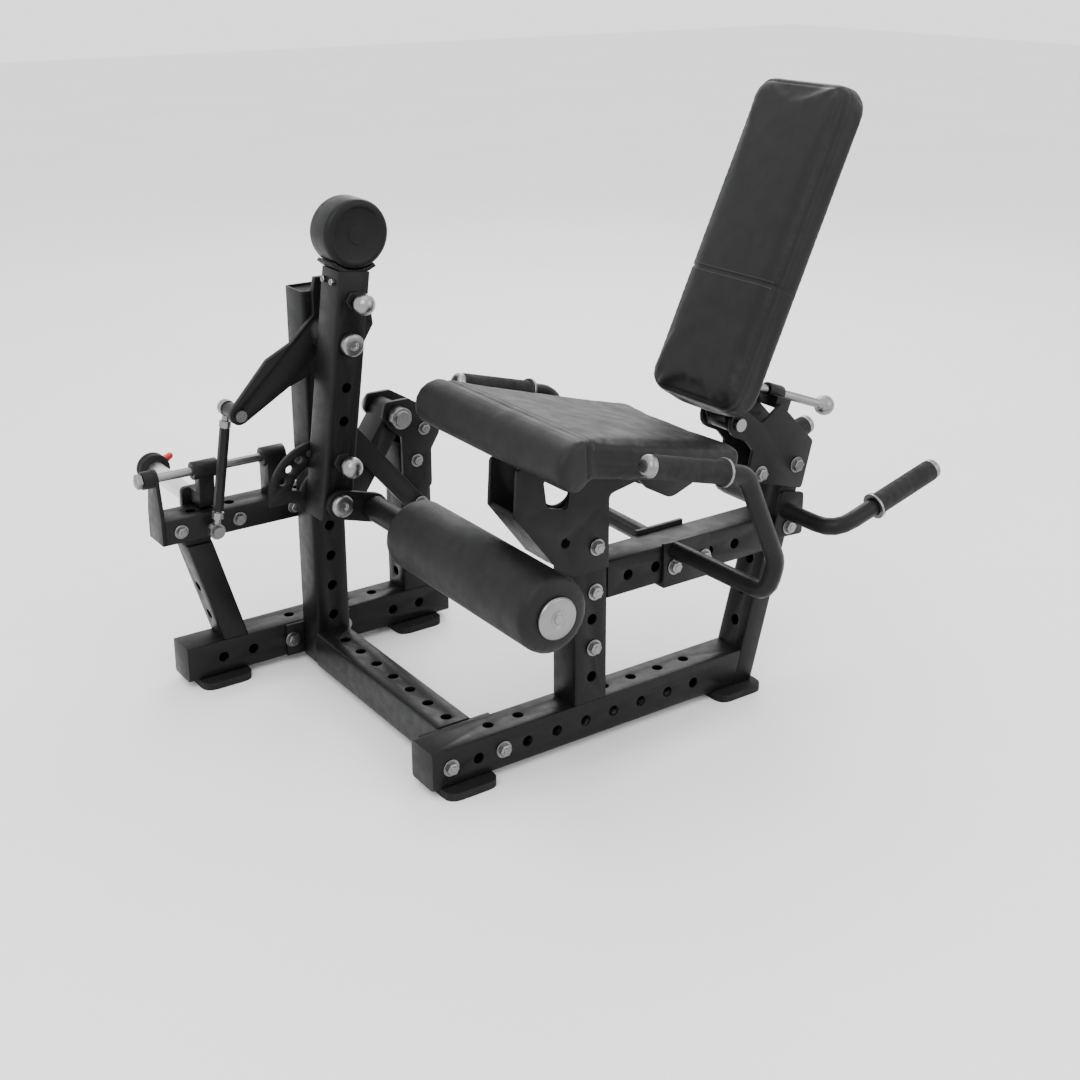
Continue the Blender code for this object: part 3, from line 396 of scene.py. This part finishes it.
# ---- frame ----------------------------------------------------------------------------------
def tubes():
    sides = side_row(-TUBE - CLEAR, [(74.0, 29.0)] + [(156.1 + PITCH * k, 29.0) for k in range(7)])
    tops = top_row(-CLEAR, [(CENTRE_X, 107.7 + PITCH * k) for k in (0, 1, 4, 5, 6, 7)])
    refined("main_rail", sides + tops)
    refined("cross_beam", top_row(-CLEAR, [(-387.8 + PITCH * k, 72.0) for k in range(7)]))
    levels = [81.6 + PITCH * k for k in (0, 1, 2, 3, 4, 5, 6, 7, 8, 10)]
    refined("tower_column", side_row(-498, [(77.0, z) for z in levels]))
    places = [-87 + PITCH * k for k in (0, 1, 5, 6, 7)]
    sides = side_row(-559, [(y, 29.0) for y in places[:2] + places[3:]])
    refined("far_rail", sides + top_row(-CLEAR, [(-524, y + PITCH / 2) for y in (15.0, 65.8, 116.6, 167.4)]))
    refined("far_upright", [((-524, 230, z), (0, 1, 0), HOLE, 80) for z in (84.7, 135.5)])
    refined("rest_strut", [((-524, -150, 95 + PITCH * k), (0, 1, 0), HOLE, 120) for k in range(2)])
    refined("diagonal_brace")
    refined("seat_upright", side_row(-TUBE - CLEAR, [(268, 97), (268, 187.3)]))
    refined("mid_beam", side_row(-TUBE - CLEAR, [(332 + PITCH * k, 240) for k in (0, 1, 3, 4)]))
    refined("rear_post", [((CENTRE_X, 520, z), (0, 1, 0), HOLE, 180) for z in (94.9, 143.9, 192.9, 340.4)])
    refined("leg_arm")
    refined("weight_lever", [((-524, y, 265), (0, 0, 1), HOLE, 20) for y in (-113, -50, 68)])
    refined("seat_bracket", [((-72, 248, 373), (1, 0, 0), 26, 16)])
    for node in ("head_plate_left", "head_plate_right", "backrest_frame", "pin_housing",
                 "side_handles", "rear_handles", "crank", "rod_end_plate", "rod_rear_block", "carriage",
                 "quadrant", "carrier_bar", "rest_pad"):
        refined(node)


def keep_nodes():
    """Give every CAD node that stays the finish of its slot."""
    for part in frame["record"]["subparts"]:
        held = frame["nodes"][part["node"]]
        held.data.materials.clear()
        held.data.materials.append(SLOTS[part["material_slot"]])


def bolt(name, place, direction, body="frame", size=9.5):
    """Hexagon head on a washer; place is on the face it clamps."""
    start = at(*place)
    ring = eased([(0.2, 0), (0.2, size + 3), (2.0, size + 3), (2.0, 0)], 0.4)
    washer = turned_mesh(start, direction, ring, 36)
    hexagon = [(2.0, 0), (2.0, size), (7.4, size), (8.4, size * 0.86), (8.4, 0)]
    head = turned_mesh(start, direction, hexagon, 6)
    dome = turned_mesh(start, direction, [(8.3, 0), (8.3, size * 0.5), (9.2, size * 0.46), (9.2, 0)], 24)
    finish_piece(name, joined([washer, head, dome]), STEEL, body)


def fasteners():
    right = [(0.2, 28.8, 29.7), (0.2, 115.1, 29.7), (PLATE_FACE, 412.9, 235.4), (PLATE_FACE, 469.4, 236.9),
             (PLATE_FACE, 271, 300), (0.2, 271, 142.2), (0.2, 273, 228.8), (PLATE_FACE, 640, 246),
             (PLATE_FACE, 650, 345), (PLATE_FACE, 577, 345)]
    for i, place in enumerate(right):
        bolt(f"bolt_right_{i}", place, RIGHT)
        bolt(f"bolt_left_{i}", (-TUBE - place[0], place[1], place[2]), (-1, 0, 0))
    for i, (y, z) in enumerate(((30, 29), (124, 29))):
        bolt(f"bolt_tower_foot_{i}", (-490.8, y, z), (1, 0, 0))
    bolt("bolt_brace_foot", (-480, 269, 214), (1, 0, 0), size=10)
    for i, (y, z) in enumerate(((284, 340), (269, 287))):
        bolt(f"bolt_lever_bracket_{i}", (-490, y, z), (1, 0, 0), size=8)
    for i, y in enumerate((-140, -45, 48)):
        bolt(f"bolt_lever_right_{i}", (LEVER_FACE, y, 253), (1, 0, 0), "weight_lever", 8)
    for i, x in enumerate((-65, 8)):
        for k, y in enumerate((190, 268)):
            low = seat_underside(y) - 7.2
            bolt(f"bolt_seat_{i}_{k}", (x, y, low), (0, -sin(SEAT_TILT), -cos(SEAT_TILT)), size=7)


def tube_plugs():
    """Plastic plugs with a recessed face in the open tube ends."""
    spots = [((-462.5, 77, 611.0), (0, 0, 1)), ((-524, 326, 28.5), (0, 1, 0))]
    for i, (place, direction) in enumerate(spots):
        mesh = bmesh.new()
        bmesh.ops.create_cube(mesh, size=1)
        along = Vector(direction)
        across = [axis for axis in Matrix.Identity(3) if axis.dot(along) == 0]
        for vert in mesh.verts:
            local = Vector((vert.co.x * 49, vert.co.y * 49, vert.co.z * 8 - 6))
            vert.co = at(*place) + (across[0] * local.x + across[1] * local.y + along * local.z) * MM
        top = max(mesh.faces, key=lambda face: face.calc_center_median().dot(along))
        bmesh.ops.inset_individual(mesh, faces=[top], thickness=4 * MM)
        bmesh.ops.translate(mesh, verts=top.verts, vec=-along * 2.5 * MM)
        bmesh.ops.recalc_face_normals(mesh, faces=mesh.faces)
        bmesh.ops.bevel(mesh, geom=list(mesh.edges), offset=0.0012, segments=2, affect="EDGES")
        finish_piece(f"tube_plug_{i}", mesh, PLUG, "frame")


# ---- turned steel ---------------------------------------------------------------------------
def arm_lean():
    return (Vector(ARM_PIVOT) - Vector(ANKLE_PIVOT)).normalized()


def up_arm(distance):
    spot = Vector(ANKLE_PIVOT) + arm_lean() * distance
    return spot.x, spot.y


def capped_shaft(head, shaft, cap, width):
    """Profile of a shaft with a flange at its start and a wide dished cap; head is (length, radius)."""
    return [(0, 0), (0, head[1]), (head[0], head[1]), (head[0], shaft), (cap, shaft), (cap, 17),
            (cap + width - 2, 17), (cap + width, 14), (cap + width, 6), (cap + width - 3, 5),
            (cap + width - 3, 0)]


def shafts():
    """Pivot shafts, and the pop pins with their ball knobs."""
    turned_piece("main_shaft_turned", at(-501, *ARM_PIVOT), RIGHT, capped_shaft((9.7, 20), 15, 166.3, 14),
                 STEEL, "frame", ("main_shaft",))
    turned_piece("ankle_shaft_turned", at(-413.3, *ANKLE_PIVOT), RIGHT, capped_shaft((9, 17), 12, 88.6, 10),
                 STEEL, "roller_carrier", ("ankle_shaft",))
    profile = [(0, 0), (0, 18), (20, 18), (20, 13), (88.6, 13), (88.6, 18), (106.6, 18), (106.6, 13),
               (110.6, 13), (110.6, 0)]
    turned_piece("lever_shaft_turned", at(-578.3, *LEVER_PIVOT), RIGHT, profile, STEEL, "frame",
                 ("lever_shaft",))
    pins = (("upper_pin", ARM_LENGTH + PIN_REACH, CRANK_FACE), ("lower_pin", PIN_REACH, QUADRANT_FACE))
    for name, distance, face in pins:
        start = face + 0.5
        reach = ARM_FACE + 20 - start
        profile = [(0, 0), (0, 4.5), (2, PIN), (reach - 2, PIN), (reach, 8), (reach + 1, 8)]
        profile += ball(reach + 14, KNOB, 8)
        turned_piece(f"{name}_turned", at(start, *up_arm(distance)), RIGHT, profile, STEEL, name,
                     (name,), size=0.3)
        nut = [(0, 11.3), (0, 15), (6, 15), (7.5, 13.5), (7.5, 11.3)]
        turned_piece(f"{name}_nut", at(ARM_FACE + 0.2, *up_arm(distance)), RIGHT, nut, PAINT, "leg_arm",
                     sides=6)
    slope = radians(-20.8)
    profile = [(0, 0), (0, 5), (2, 7), (143, 7), (145, 9)] + ball(160, KNOB, 9)
    turned_piece("backrest_pin_turned", at(CENTRE_X, 588.8, 471.9), (0, cos(slope), sin(slope)), profile,
                 STEEL, "backrest_pin", ("backrest_pin",), size=0.3)


def weights():
    """Counterweight drum, weight horn and guide rod."""
    centre = up_arm(403)
    profile = [(0, 0), (0, 14), (1.5, 14), (1.5, 38), (0, 40), (0, 44), (1.2, 47.5), (3.5, 50), (8, 51.4),
               (48, 51.4), (52.5, 50), (54.8, 47.5), (56, 44), (56, 40), (54.5, 38), (54.5, 14), (56, 14),
               (56, 0)]
    turned_piece("counterweight_drum", at(-391, *centre), RIGHT, profile, PAINT, "leg_arm",
                 ("counterweight",), 72, 0.3)
    for i, x in enumerate((-376, -350)):
        spot = up_arm(352)
        bolt(f"bolt_saddle_{i}", (x, spot[0] - 25.6, spot[1] - 17), (0, -0.99, 0.125), "leg_arm", 5.5)
    length = 203.7
    profile = [(0, 0), (0, 26), (6, 26), (6, 17), (9, 14.5), (length - 9, 14.5), (length - 9, 16.5),
               (length - 1.5, 16.5), (length, 15), (length, 0)]
    turned_piece("weight_horn_turned", at(HORN_ROOT, *HORN_AXIS), (-1, 0, 0), profile, CHROME, "carriage",
                 ("weight_horn",))
    x, z = ROD_AXIS
    profile = [(0, 0), (0, 5.5), (2, 6.7), (12, 6.7), (230, 6.7), (230, 0)]
    turned_piece("guide_rod_turned", at(x, -196.5, z), (0, 1, 0), profile, STEEL, "weight_lever",
                 ("guide_rod",), 32)
    profile = [(0, 6.8), (0, 10.5), (1.5, 12), (9.2, 12), (9.2, 6.8)]
    turned_piece("guide_rod_nut", at(x, -195.6, z), (0, 1, 0), profile, STEEL, "weight_lever",
                 sides=6)


def horn_collar():
    """Rubber-lined spring collar with a small red lever."""
    low, high = (Vector(corner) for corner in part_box("horn_collar"))
    width = (high.x - low.x) / MM
    start = at(0, *HORN_AXIS)
    start.x = low.x
    profile = [(0, 14.9), (0, 23), (1.5, 25.5), (4, 26), (width / 2 - 2, 26), (width / 2, 24.5),
               (width / 2 + 2, 26), (width - 4, 26), (width - 1.5, 25.5), (width, 23), (width, 14.9)]
    ring = turned_mesh(start, RIGHT, profile, 56)
    open_bore(ring)
    finish_piece("collar_ring", ring, RUBBER, "horn_collar", ("horn_collar",))
    lever = bmesh.new()
    bmesh.ops.create_cube(lever, size=1)
    tilt = Matrix.Rotation(radians(-60), 3, "X")
    for vert in lever.verts:
        taper = 1 - 0.25 * (vert.co.z + 0.5)
        spot = Vector((vert.co.x * 13 * taper, vert.co.y * 11 * taper, 31 + vert.co.z * 16))
        vert.co = start + Vector((width / 2 * MM, 0, 0)) + tilt @ spot * MM
    bmesh.ops.bevel(lever, geom=list(lever.edges), offset=0.002, segments=3, affect="EDGES")
    finish_piece("collar_lever", lever, RED, "horn_collar")


def grips():
    """Foam sleeves with a soft flange, a bright ring and a ball or cap at the end."""
    side = ((200, 490), (335, 453), 15.8)
    rear = ((846, 331), (713, 294.5), 16.5)
    seats = [("side_grip_right", 197, *side), ("side_grip_left", -253, *side),
             ("rear_grip_right", 110, *rear), ("rear_grip_left", -166, *rear)]
    for node, x, tip, root, radius in seats:
        start = at(x, *tip)
        along = at(x, *root) - start
        length = along.length / MM
        cap = [(0, 0), (0, radius - 8), (0.8, radius - 5), (2.5, radius - 2.8), (5, radius - 1),
               (9, radius - 0.4), (12, radius - 0.8), (12, 0)]
        turned_piece(f"{node}_cap", start, along, cap, STEEL, "frame", sides=48, size=0.3)
        profile = [(12.2, 0), (12.2, radius - 1.5), (13.5, radius - 0.3), (15, radius)]
        profile += [(length - 9, radius), (length - 8, radius + 1), (length - 7, radius + 3),
                    (length - 4.5, radius + 3.6), (length - 4.4, 13.8), (16, 13.8), (16, 0)]
        mesh = turned_mesh(start, along, profile, 48)
        finish_piece(f"{node}_foam", mesh, FOAM, "frame", (node,), 50)
        ring = [(length - 4, 13.9), (length - 4, radius + 4), (length, radius + 4), (length, 13.9)]
        ring_mesh = turned_mesh(start, along, eased(ring + [ring[0]], 0.5), 48)
        bmesh.ops.remove_doubles(ring_mesh, verts=ring_mesh.verts, dist=WELD)
        finish_piece(f"{node}_ring", ring_mesh, STEEL, "frame")


def roller():
    """Foam roller under vinyl with gathered ends, on a powder-coated axle."""
    low, high = (Vector(corner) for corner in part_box("roller_pad"))
    width = (high.x - low.x) / MM
    radius = (high.z - low.z) / MM / 2
    profile = [(0.3, 20.2), (0.3, 30), (1.2, 40), (3.5, 46.5), (8, 51.3), (14, radius - 0.3)]
    steps = 40
    for i in range(1, steps):
        t = i / steps
        profile.append((14 + (width - 28) * t, radius - 0.3 + 0.25 * sin(pi * t)))
    profile += [(width - 14, radius - 0.3), (width - 8, 51.3), (width - 3.5, 46.5), (width - 1.2, 40),
                (width - 0.3, 30), (width - 0.3, 20.2)]
    start = at(-205, *ROLLER_AXIS)
    mesh = turned_mesh(start, RIGHT, profile, 96)
    open_bore(mesh)
    axis = Vector((0, start.y, start.z))
    for vert in mesh.verts:
        away = vert.co - axis
        away.x = 0
        angle = atan2(away.z, away.y)
        from_end = min(vert.co.x - low.x, high.x - vert.co.x) / MM
        if away.length > 0.024 and from_end < 10:
            vert.co += away.normalized() * sin(angle * 22) * 0.7 * MM * (1 - from_end / 10)
        seam = abs((angle - 2.4 + pi) % (2 * pi) - pi)
        if away.length > 0.045 and seam < 0.08:
            vert.co -= away.normalized() * 1.3 * MM * (1 - seam / 0.08)
    bmesh.ops.recalc_face_normals(mesh, faces=mesh.faces)
    made = finish_piece("roller_cover", mesh, VINYL, "roller", ("roller_pad",), 60)
    profile = [(0, 0), (0, 29), (3, 29), (5.5, 26.5), (6.2, 20), (6.2, 12), (5.2, 11), (5.2, 7), (7, 6.4),
               (7, 0)]
    turned_piece("roller_cap_turned", at(150.5, *ROLLER_AXIS), RIGHT, profile, STEEL, "roller_carrier",
                 ("roller_end_cap",), 56, 0.4)
    collar = 118.7
    profile = [(0, 0), (0, 19.5), (collar - 7, 19.5), (collar - 7, 27), (collar, 27), (collar, 19.5),
               (474.7, 19.5), (474.7, 0)]
    turned_piece("roller_axle_turned", at(-324.7, *ROLLER_AXIS), RIGHT, profile, PAINT, "roller_carrier",
                 ("roller_axle",), 48)


# ---- cushions -------------------------------------------------------------------------------
def polar(centre, radius, degrees):
    return centre[0] + radius * cos(radians(degrees)), centre[1] + radius * sin(radians(degrees))


def seat_underside(y):
    return SEAT_FRONT[1] - tan(SEAT_TILT) * (y - SEAT_FRONT[0]) - SEAT_THICK / cos(SEAT_TILT)


def slab(outline, widths, shrink):
    """A cushion blank: a side outline swept across the bench, narrower by a margin on each side."""
    mesh = bmesh.new()
    rows = []
    for side in (-1, 1):
        row = []
        for (y, z), half in zip(outline, widths):
            row.append(mesh.verts.new(at(CENTRE_X + side * (half - shrink), y, z)))
        rows.append(row)
    mesh.faces.new(rows[0])
    mesh.faces.new(rows[1])
    for i in range(len(outline)):
        j = (i + 1) % len(outline)
        mesh.faces.new((rows[0][i], rows[0][j], rows[1][j], rows[1][i]))
    bmesh.ops.recalc_face_normals(mesh, faces=mesh.faces)
    return mesh


def soft_object(name, mesh, round_by):
    data = bpy.data.meshes.new(name)
    mesh.to_mesh(data)
    mesh.free()
    made = bpy.data.objects.new(name, data)
    bpy.context.scene.collection.objects.link(made)
    bevel = made.modifiers.new("round", "BEVEL")
    bevel.width = round_by * MM
    bevel.segments = 4
    bevel.limit_method = "ANGLE"
    bevel.angle_limit = radians(40)
    remesh = made.modifiers.new("remesh", "REMESH")
    remesh.mode = "VOXEL"
    remesh.voxel_size = VOXEL
    smooth = made.modifiers.new("smooth", "SMOOTH")
    smooth.iterations = 4
    apply_modifiers(made)
    return made


def swell(made, backed, cap):
    """Blow the cushion up a little with cloth pressure; the board side stays where it is."""
    rest = [vert.co.copy() for vert in made.data.vertices]
    group = made.vertex_groups.new(name="board")
    held = {i for i, co in enumerate(rest) if backed(co)}
    group.add(sorted(held), 1.0, "REPLACE")
    cloth = made.modifiers.new("cloth", "CLOTH")
    cloth.settings.quality = 5
    cloth.settings.use_pressure = True
    cloth.settings.uniform_pressure_force = 4
    cloth.settings.effector_weights.gravity = 0
    cloth.settings.vertex_group_mass = "board"
    cloth.settings.tension_stiffness = 20
    cloth.settings.compression_stiffness = 20
    cloth.settings.bending_stiffness = 0.5
    for step in range(1, CLOTH_STEPS + 1):
        bpy.context.scene.frame_set(step)
    apply_modifiers(made)
    for vert, start in zip(made.data.vertices, rest):
        move = vert.co - start
        if move.length > cap * MM:
            vert.co = start + move.normalized() * cap * MM
    bpy.context.scene.frame_set(1)
    made.vertex_groups.clear()
    fine = made.modifiers.new("fine", "SUBSURF")
    fine.levels = 1
    fine.render_levels = 1
    apply_modifiers(made)


def groove(made, distance, width, depth):
    """Press a sewn channel: distance(co) is how far a point is from the seam, in metres."""
    made.data.update()
    normals = [Vector(normal.vector) for normal in made.data.vertex_normals]
    for vert, normal in zip(made.data.vertices, normals):
        away = distance(vert.co)
        if away is not None and abs(away) < width * 3 * MM:
            vert.co -= normal * depth * MM * BELL ** (-(away / (width * MM)) ** 2)


def stitches(name, made, route, aim, body, pitch=5.0):
    """Short thread stitches laid along a route that is dropped onto the cushion."""
    made.data.update()
    tree = BVHTree.FromPolygons([v.co for v in made.data.vertices], [p.vertices for p in made.data.polygons])
    parts = []
    for start, end in zip(route, route[1:]):
        run = end - start
        count = max(int(run.length / (pitch * MM)), 1)
        for i in range(count):
            spots = []
            for t in ((i + 0.18) / count, (i + 0.5) / count, (i + 0.82) / count):
                hit, normal, _, _ = tree.ray_cast(start + run * t - aim * 0.08, aim)
                if hit:
                    spots.append(hit + normal * (0.25 if len(spots) == 1 else -0.1) * MM)
            if len(spots) == 3:
                for a, b in zip(spots, spots[1:]):
                    length = (b - a).length / MM
                    profile = [(-0.2, 0), (0, 0.45), (length, 0.45), (length + 0.2, 0)]
                    parts.append(turned_mesh(a, b - a, profile, 6))
    if parts:
        finish_piece(name, joined(parts), THREAD, body)


def seat_cushion():
    down = -104.8
    centre = polar(SEAT_FRONT, SEAT_ROLL, down)
    outline = [polar(centre, SEAT_ROLL - 1.2, 75.2 + 20.98 * i) for i in range(11)]
    corner = polar(SEAT_FRONT, SEAT_THICK, down)
    back = Vector((cos(SEAT_TILT), -sin(SEAT_TILT)))
    up = Vector((sin(SEAT_TILT), cos(SEAT_TILT)))
    base = Vector(corner)
    top = Vector(SEAT_FRONT) - up * 1.5
    outline.append(tuple(base + back * 26))
    outline += [tuple(base + back * (SEAT_LENGTH - 4)), tuple(top + back * (SEAT_LENGTH - 4))]
    widths = []
    for y, z in outline:
        part_way = min(max((y - centre[0]) / SEAT_LENGTH, 0), 1)
        widths.append(SEAT_HALF[0] + (SEAT_HALF[1] - SEAT_HALF[0]) * part_way)
    made = soft_object("seat_cushion", slab(outline, widths, 1.5), SOFT_EDGE)
    origin = at(0, *corner)
    normal = Vector((0, up.x, up.y))
    swell(made, lambda co: (co - origin).dot(normal) < 0.004 and co.y > at(0, 165, 0).y, SWELL)
    crease = at(0, SEAT_FRONT[0] + 6, 0).y
    top_z = at(0, 0, 470).z
    groove(made, lambda co: co.y - crease if co.z > top_z else None, 3.2, 2.6)

    def side_seam(co):
        """Distance to the seam round the sides, 20 mm above the board."""
        up_from_board = (co - origin).dot(normal)
        if co.y > crease + 0.004 and 0.004 < up_from_board < 0.04:
            return up_from_board - 0.02
        return None

    groove(made, side_seam, 1.8, 1.1)
    finish_soft(made, "frame", ("seat_pad",))
    aim = -normal
    for i, offset in enumerate((-7, 19)):
        y = SEAT_FRONT[0] + offset
        z = SEAT_FRONT[1] - tan(SEAT_TILT) * offset
        route = [at(CENTRE_X - 172, y, z), at(CENTRE_X + 172, y, z)]
        stitches(f"seat_stitches_{i}", made, route, aim, "frame")


def finish_soft(made, body, nodes):
    made.data.materials.clear()
    made.data.materials.append(VINYL)
    made.data.shade_smooth()
    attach(made, body)
    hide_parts(*nodes)


def back_point(run, rise):
    along = (cos(BACK_LEAN), sin(BACK_LEAN))
    return BACK_HINGE[0] + run * along[0] - rise * along[1], BACK_HINGE[1] + run * along[1] + rise * along[0]


def back_cushion():
    """Backrest with rounded corners, a cross seam low down and piped edges."""
    mesh = bmesh.new()
    rows = []
    corners = []
    shrink = 2
    middle = (BACK_RUN[0] + BACK_RUN[1]) / 2
    half = (BACK_RUN[1] - BACK_RUN[0]) / 2
    for across, up, start in ((1, 1, 0), (-1, 1, 90), (-1, -1, 180), (1, -1, 270)):
        centre = (across * (BACK_HALF - BACK_CORNER), middle + up * (half - BACK_CORNER))
        corners += [polar(centre, BACK_CORNER - shrink, start + 15 * k) for k in range(7)]
    for rise in (BACK_DEPTH[0] + 0.5, BACK_DEPTH[1] - 2):
        rows.append([mesh.verts.new(at(CENTRE_X + x, *back_point(run, rise))) for x, run in corners])
    mesh.faces.new(rows[0])
    mesh.faces.new(rows[1])
    for i in range(len(corners)):
        j = (i + 1) % len(corners)
        mesh.faces.new((rows[0][i], rows[0][j], rows[1][j], rows[1][i]))
    bmesh.ops.recalc_face_normals(mesh, faces=mesh.faces)
    made = soft_object("back_cushion", mesh, SOFT_EDGE)
    origin = at(CENTRE_X, *back_point(0, BACK_DEPTH[0]))
    along = Vector((0, cos(BACK_LEAN), sin(BACK_LEAN)))
    front = Vector((0, -sin(BACK_LEAN), cos(BACK_LEAN)))
    swell(made, lambda co: (co - origin).dot(front) < 0.004, SWELL)
    seam = at(CENTRE_X, *back_point(BACK_SEAM, 0))
    groove(made, lambda co: (co - seam).dot(along) if (co - origin).dot(front) > 0.008 else None, 1.8, 1.9)
    thick = (BACK_DEPTH[1] - BACK_DEPTH[0]) * MM
    groove(made, lambda co: (co - origin).dot(front) - thick * 0.66, 1.8, 1.2)

    def inside_edge(co):
        """Distance to a line a little inside the pad's outline, on its front face only."""
        if (co - origin).dot(front) < thick * 0.8:
            return None
        x = abs(co.x - origin.x) / MM - (BACK_HALF - BACK_CORNER)
        run = abs((co - origin).dot(along) / MM - middle) - (half - BACK_CORNER)
        reach = Vector((max(x, 0), max(run, 0))).length if max(x, run) > 0 else max(x, run)
        return (reach - BACK_CORNER + 13) * MM

    groove(made, inside_edge, 1.8, 1.3)
    finish_soft(made, "backrest", ("backrest_pad",))
    for i, offset in enumerate((-4.5, 4.5)):
        ends = [at(CENTRE_X + side * 86, *back_point(BACK_SEAM + offset, BACK_DEPTH[1])) for side in (-1, 1)]
        stitches(f"back_stitches_{i}", made, ends, -front, "backrest")


# ---- surroundings ---------------------------------------------------------------------------
def surroundings():
    mesh = bmesh.new()
    bmesh.ops.create_grid(mesh, x_segments=4, y_segments=4, size=12)
    data = bpy.data.meshes.new("floor")
    mesh.to_mesh(data)
    mesh.free()
    floor = bpy.data.objects.new("floor", data)
    bpy.context.scene.collection.objects.link(floor)
    look = Shader("floor_paint", (0.86, 0.86, 0.86), 0.6, Specular_IOR_Level=0.2)
    look.color(look.noise(1.5, 4), [(0.3, (0.85, 0.85, 0.85)), (0.7, (0.88, 0.88, 0.88))])
    data.materials.append(look.material)
    world = bpy.data.worlds.new("studio")
    world.use_nodes = True
    world.node_tree.nodes["Background"].inputs["Color"].default_value = (0.99, 0.995, 1.0, 1)
    world.node_tree.nodes["Background"].inputs["Strength"].default_value = 1.8
    bpy.context.scene.world = world
    middle = Vector((0, 0, 0.45))
    for name, place, size, power in (("key", (1.6, -2.2, 2.8), 1.8, 55), ("fill", (2.6, 1.6, 1.8), 2.2, 25),
                                     ("rim", (-2.2, 1.8, 2.4), 1.6, 45), ("top", (0.0, 0.0, 3.2), 2.4, 30)):
        lamp = bpy.data.lights.new(name, "AREA")
        lamp.size = size
        lamp.energy = power
        holder = bpy.data.objects.new(name, lamp)
        holder.location = place
        holder.rotation_euler = (middle - Vector(place)).to_track_quat("-Z", "Y").to_euler()
        bpy.context.scene.collection.objects.link(holder)


def camera():
    data = bpy.data.cameras.new("camera")
    data.lens = 51.54
    data.sensor_width = 36
    data.shift_x = -0.0194
    data.shift_y = -0.1249
    holder = bpy.data.objects.new("camera", data)
    holder.location = at(1617.4, -933.3, 1134.1)
    holder.rotation_euler = (radians(72.71), 0, radians(54.66))
    bpy.context.scene.collection.objects.link(holder)
    bpy.context.scene.camera = holder


keep_nodes()
camera()
tubes()
fasteners()
tube_plugs()
shafts()
weights()
horn_collar()
grips()
roller()
seat_cushion()
back_cushion()
surroundings()
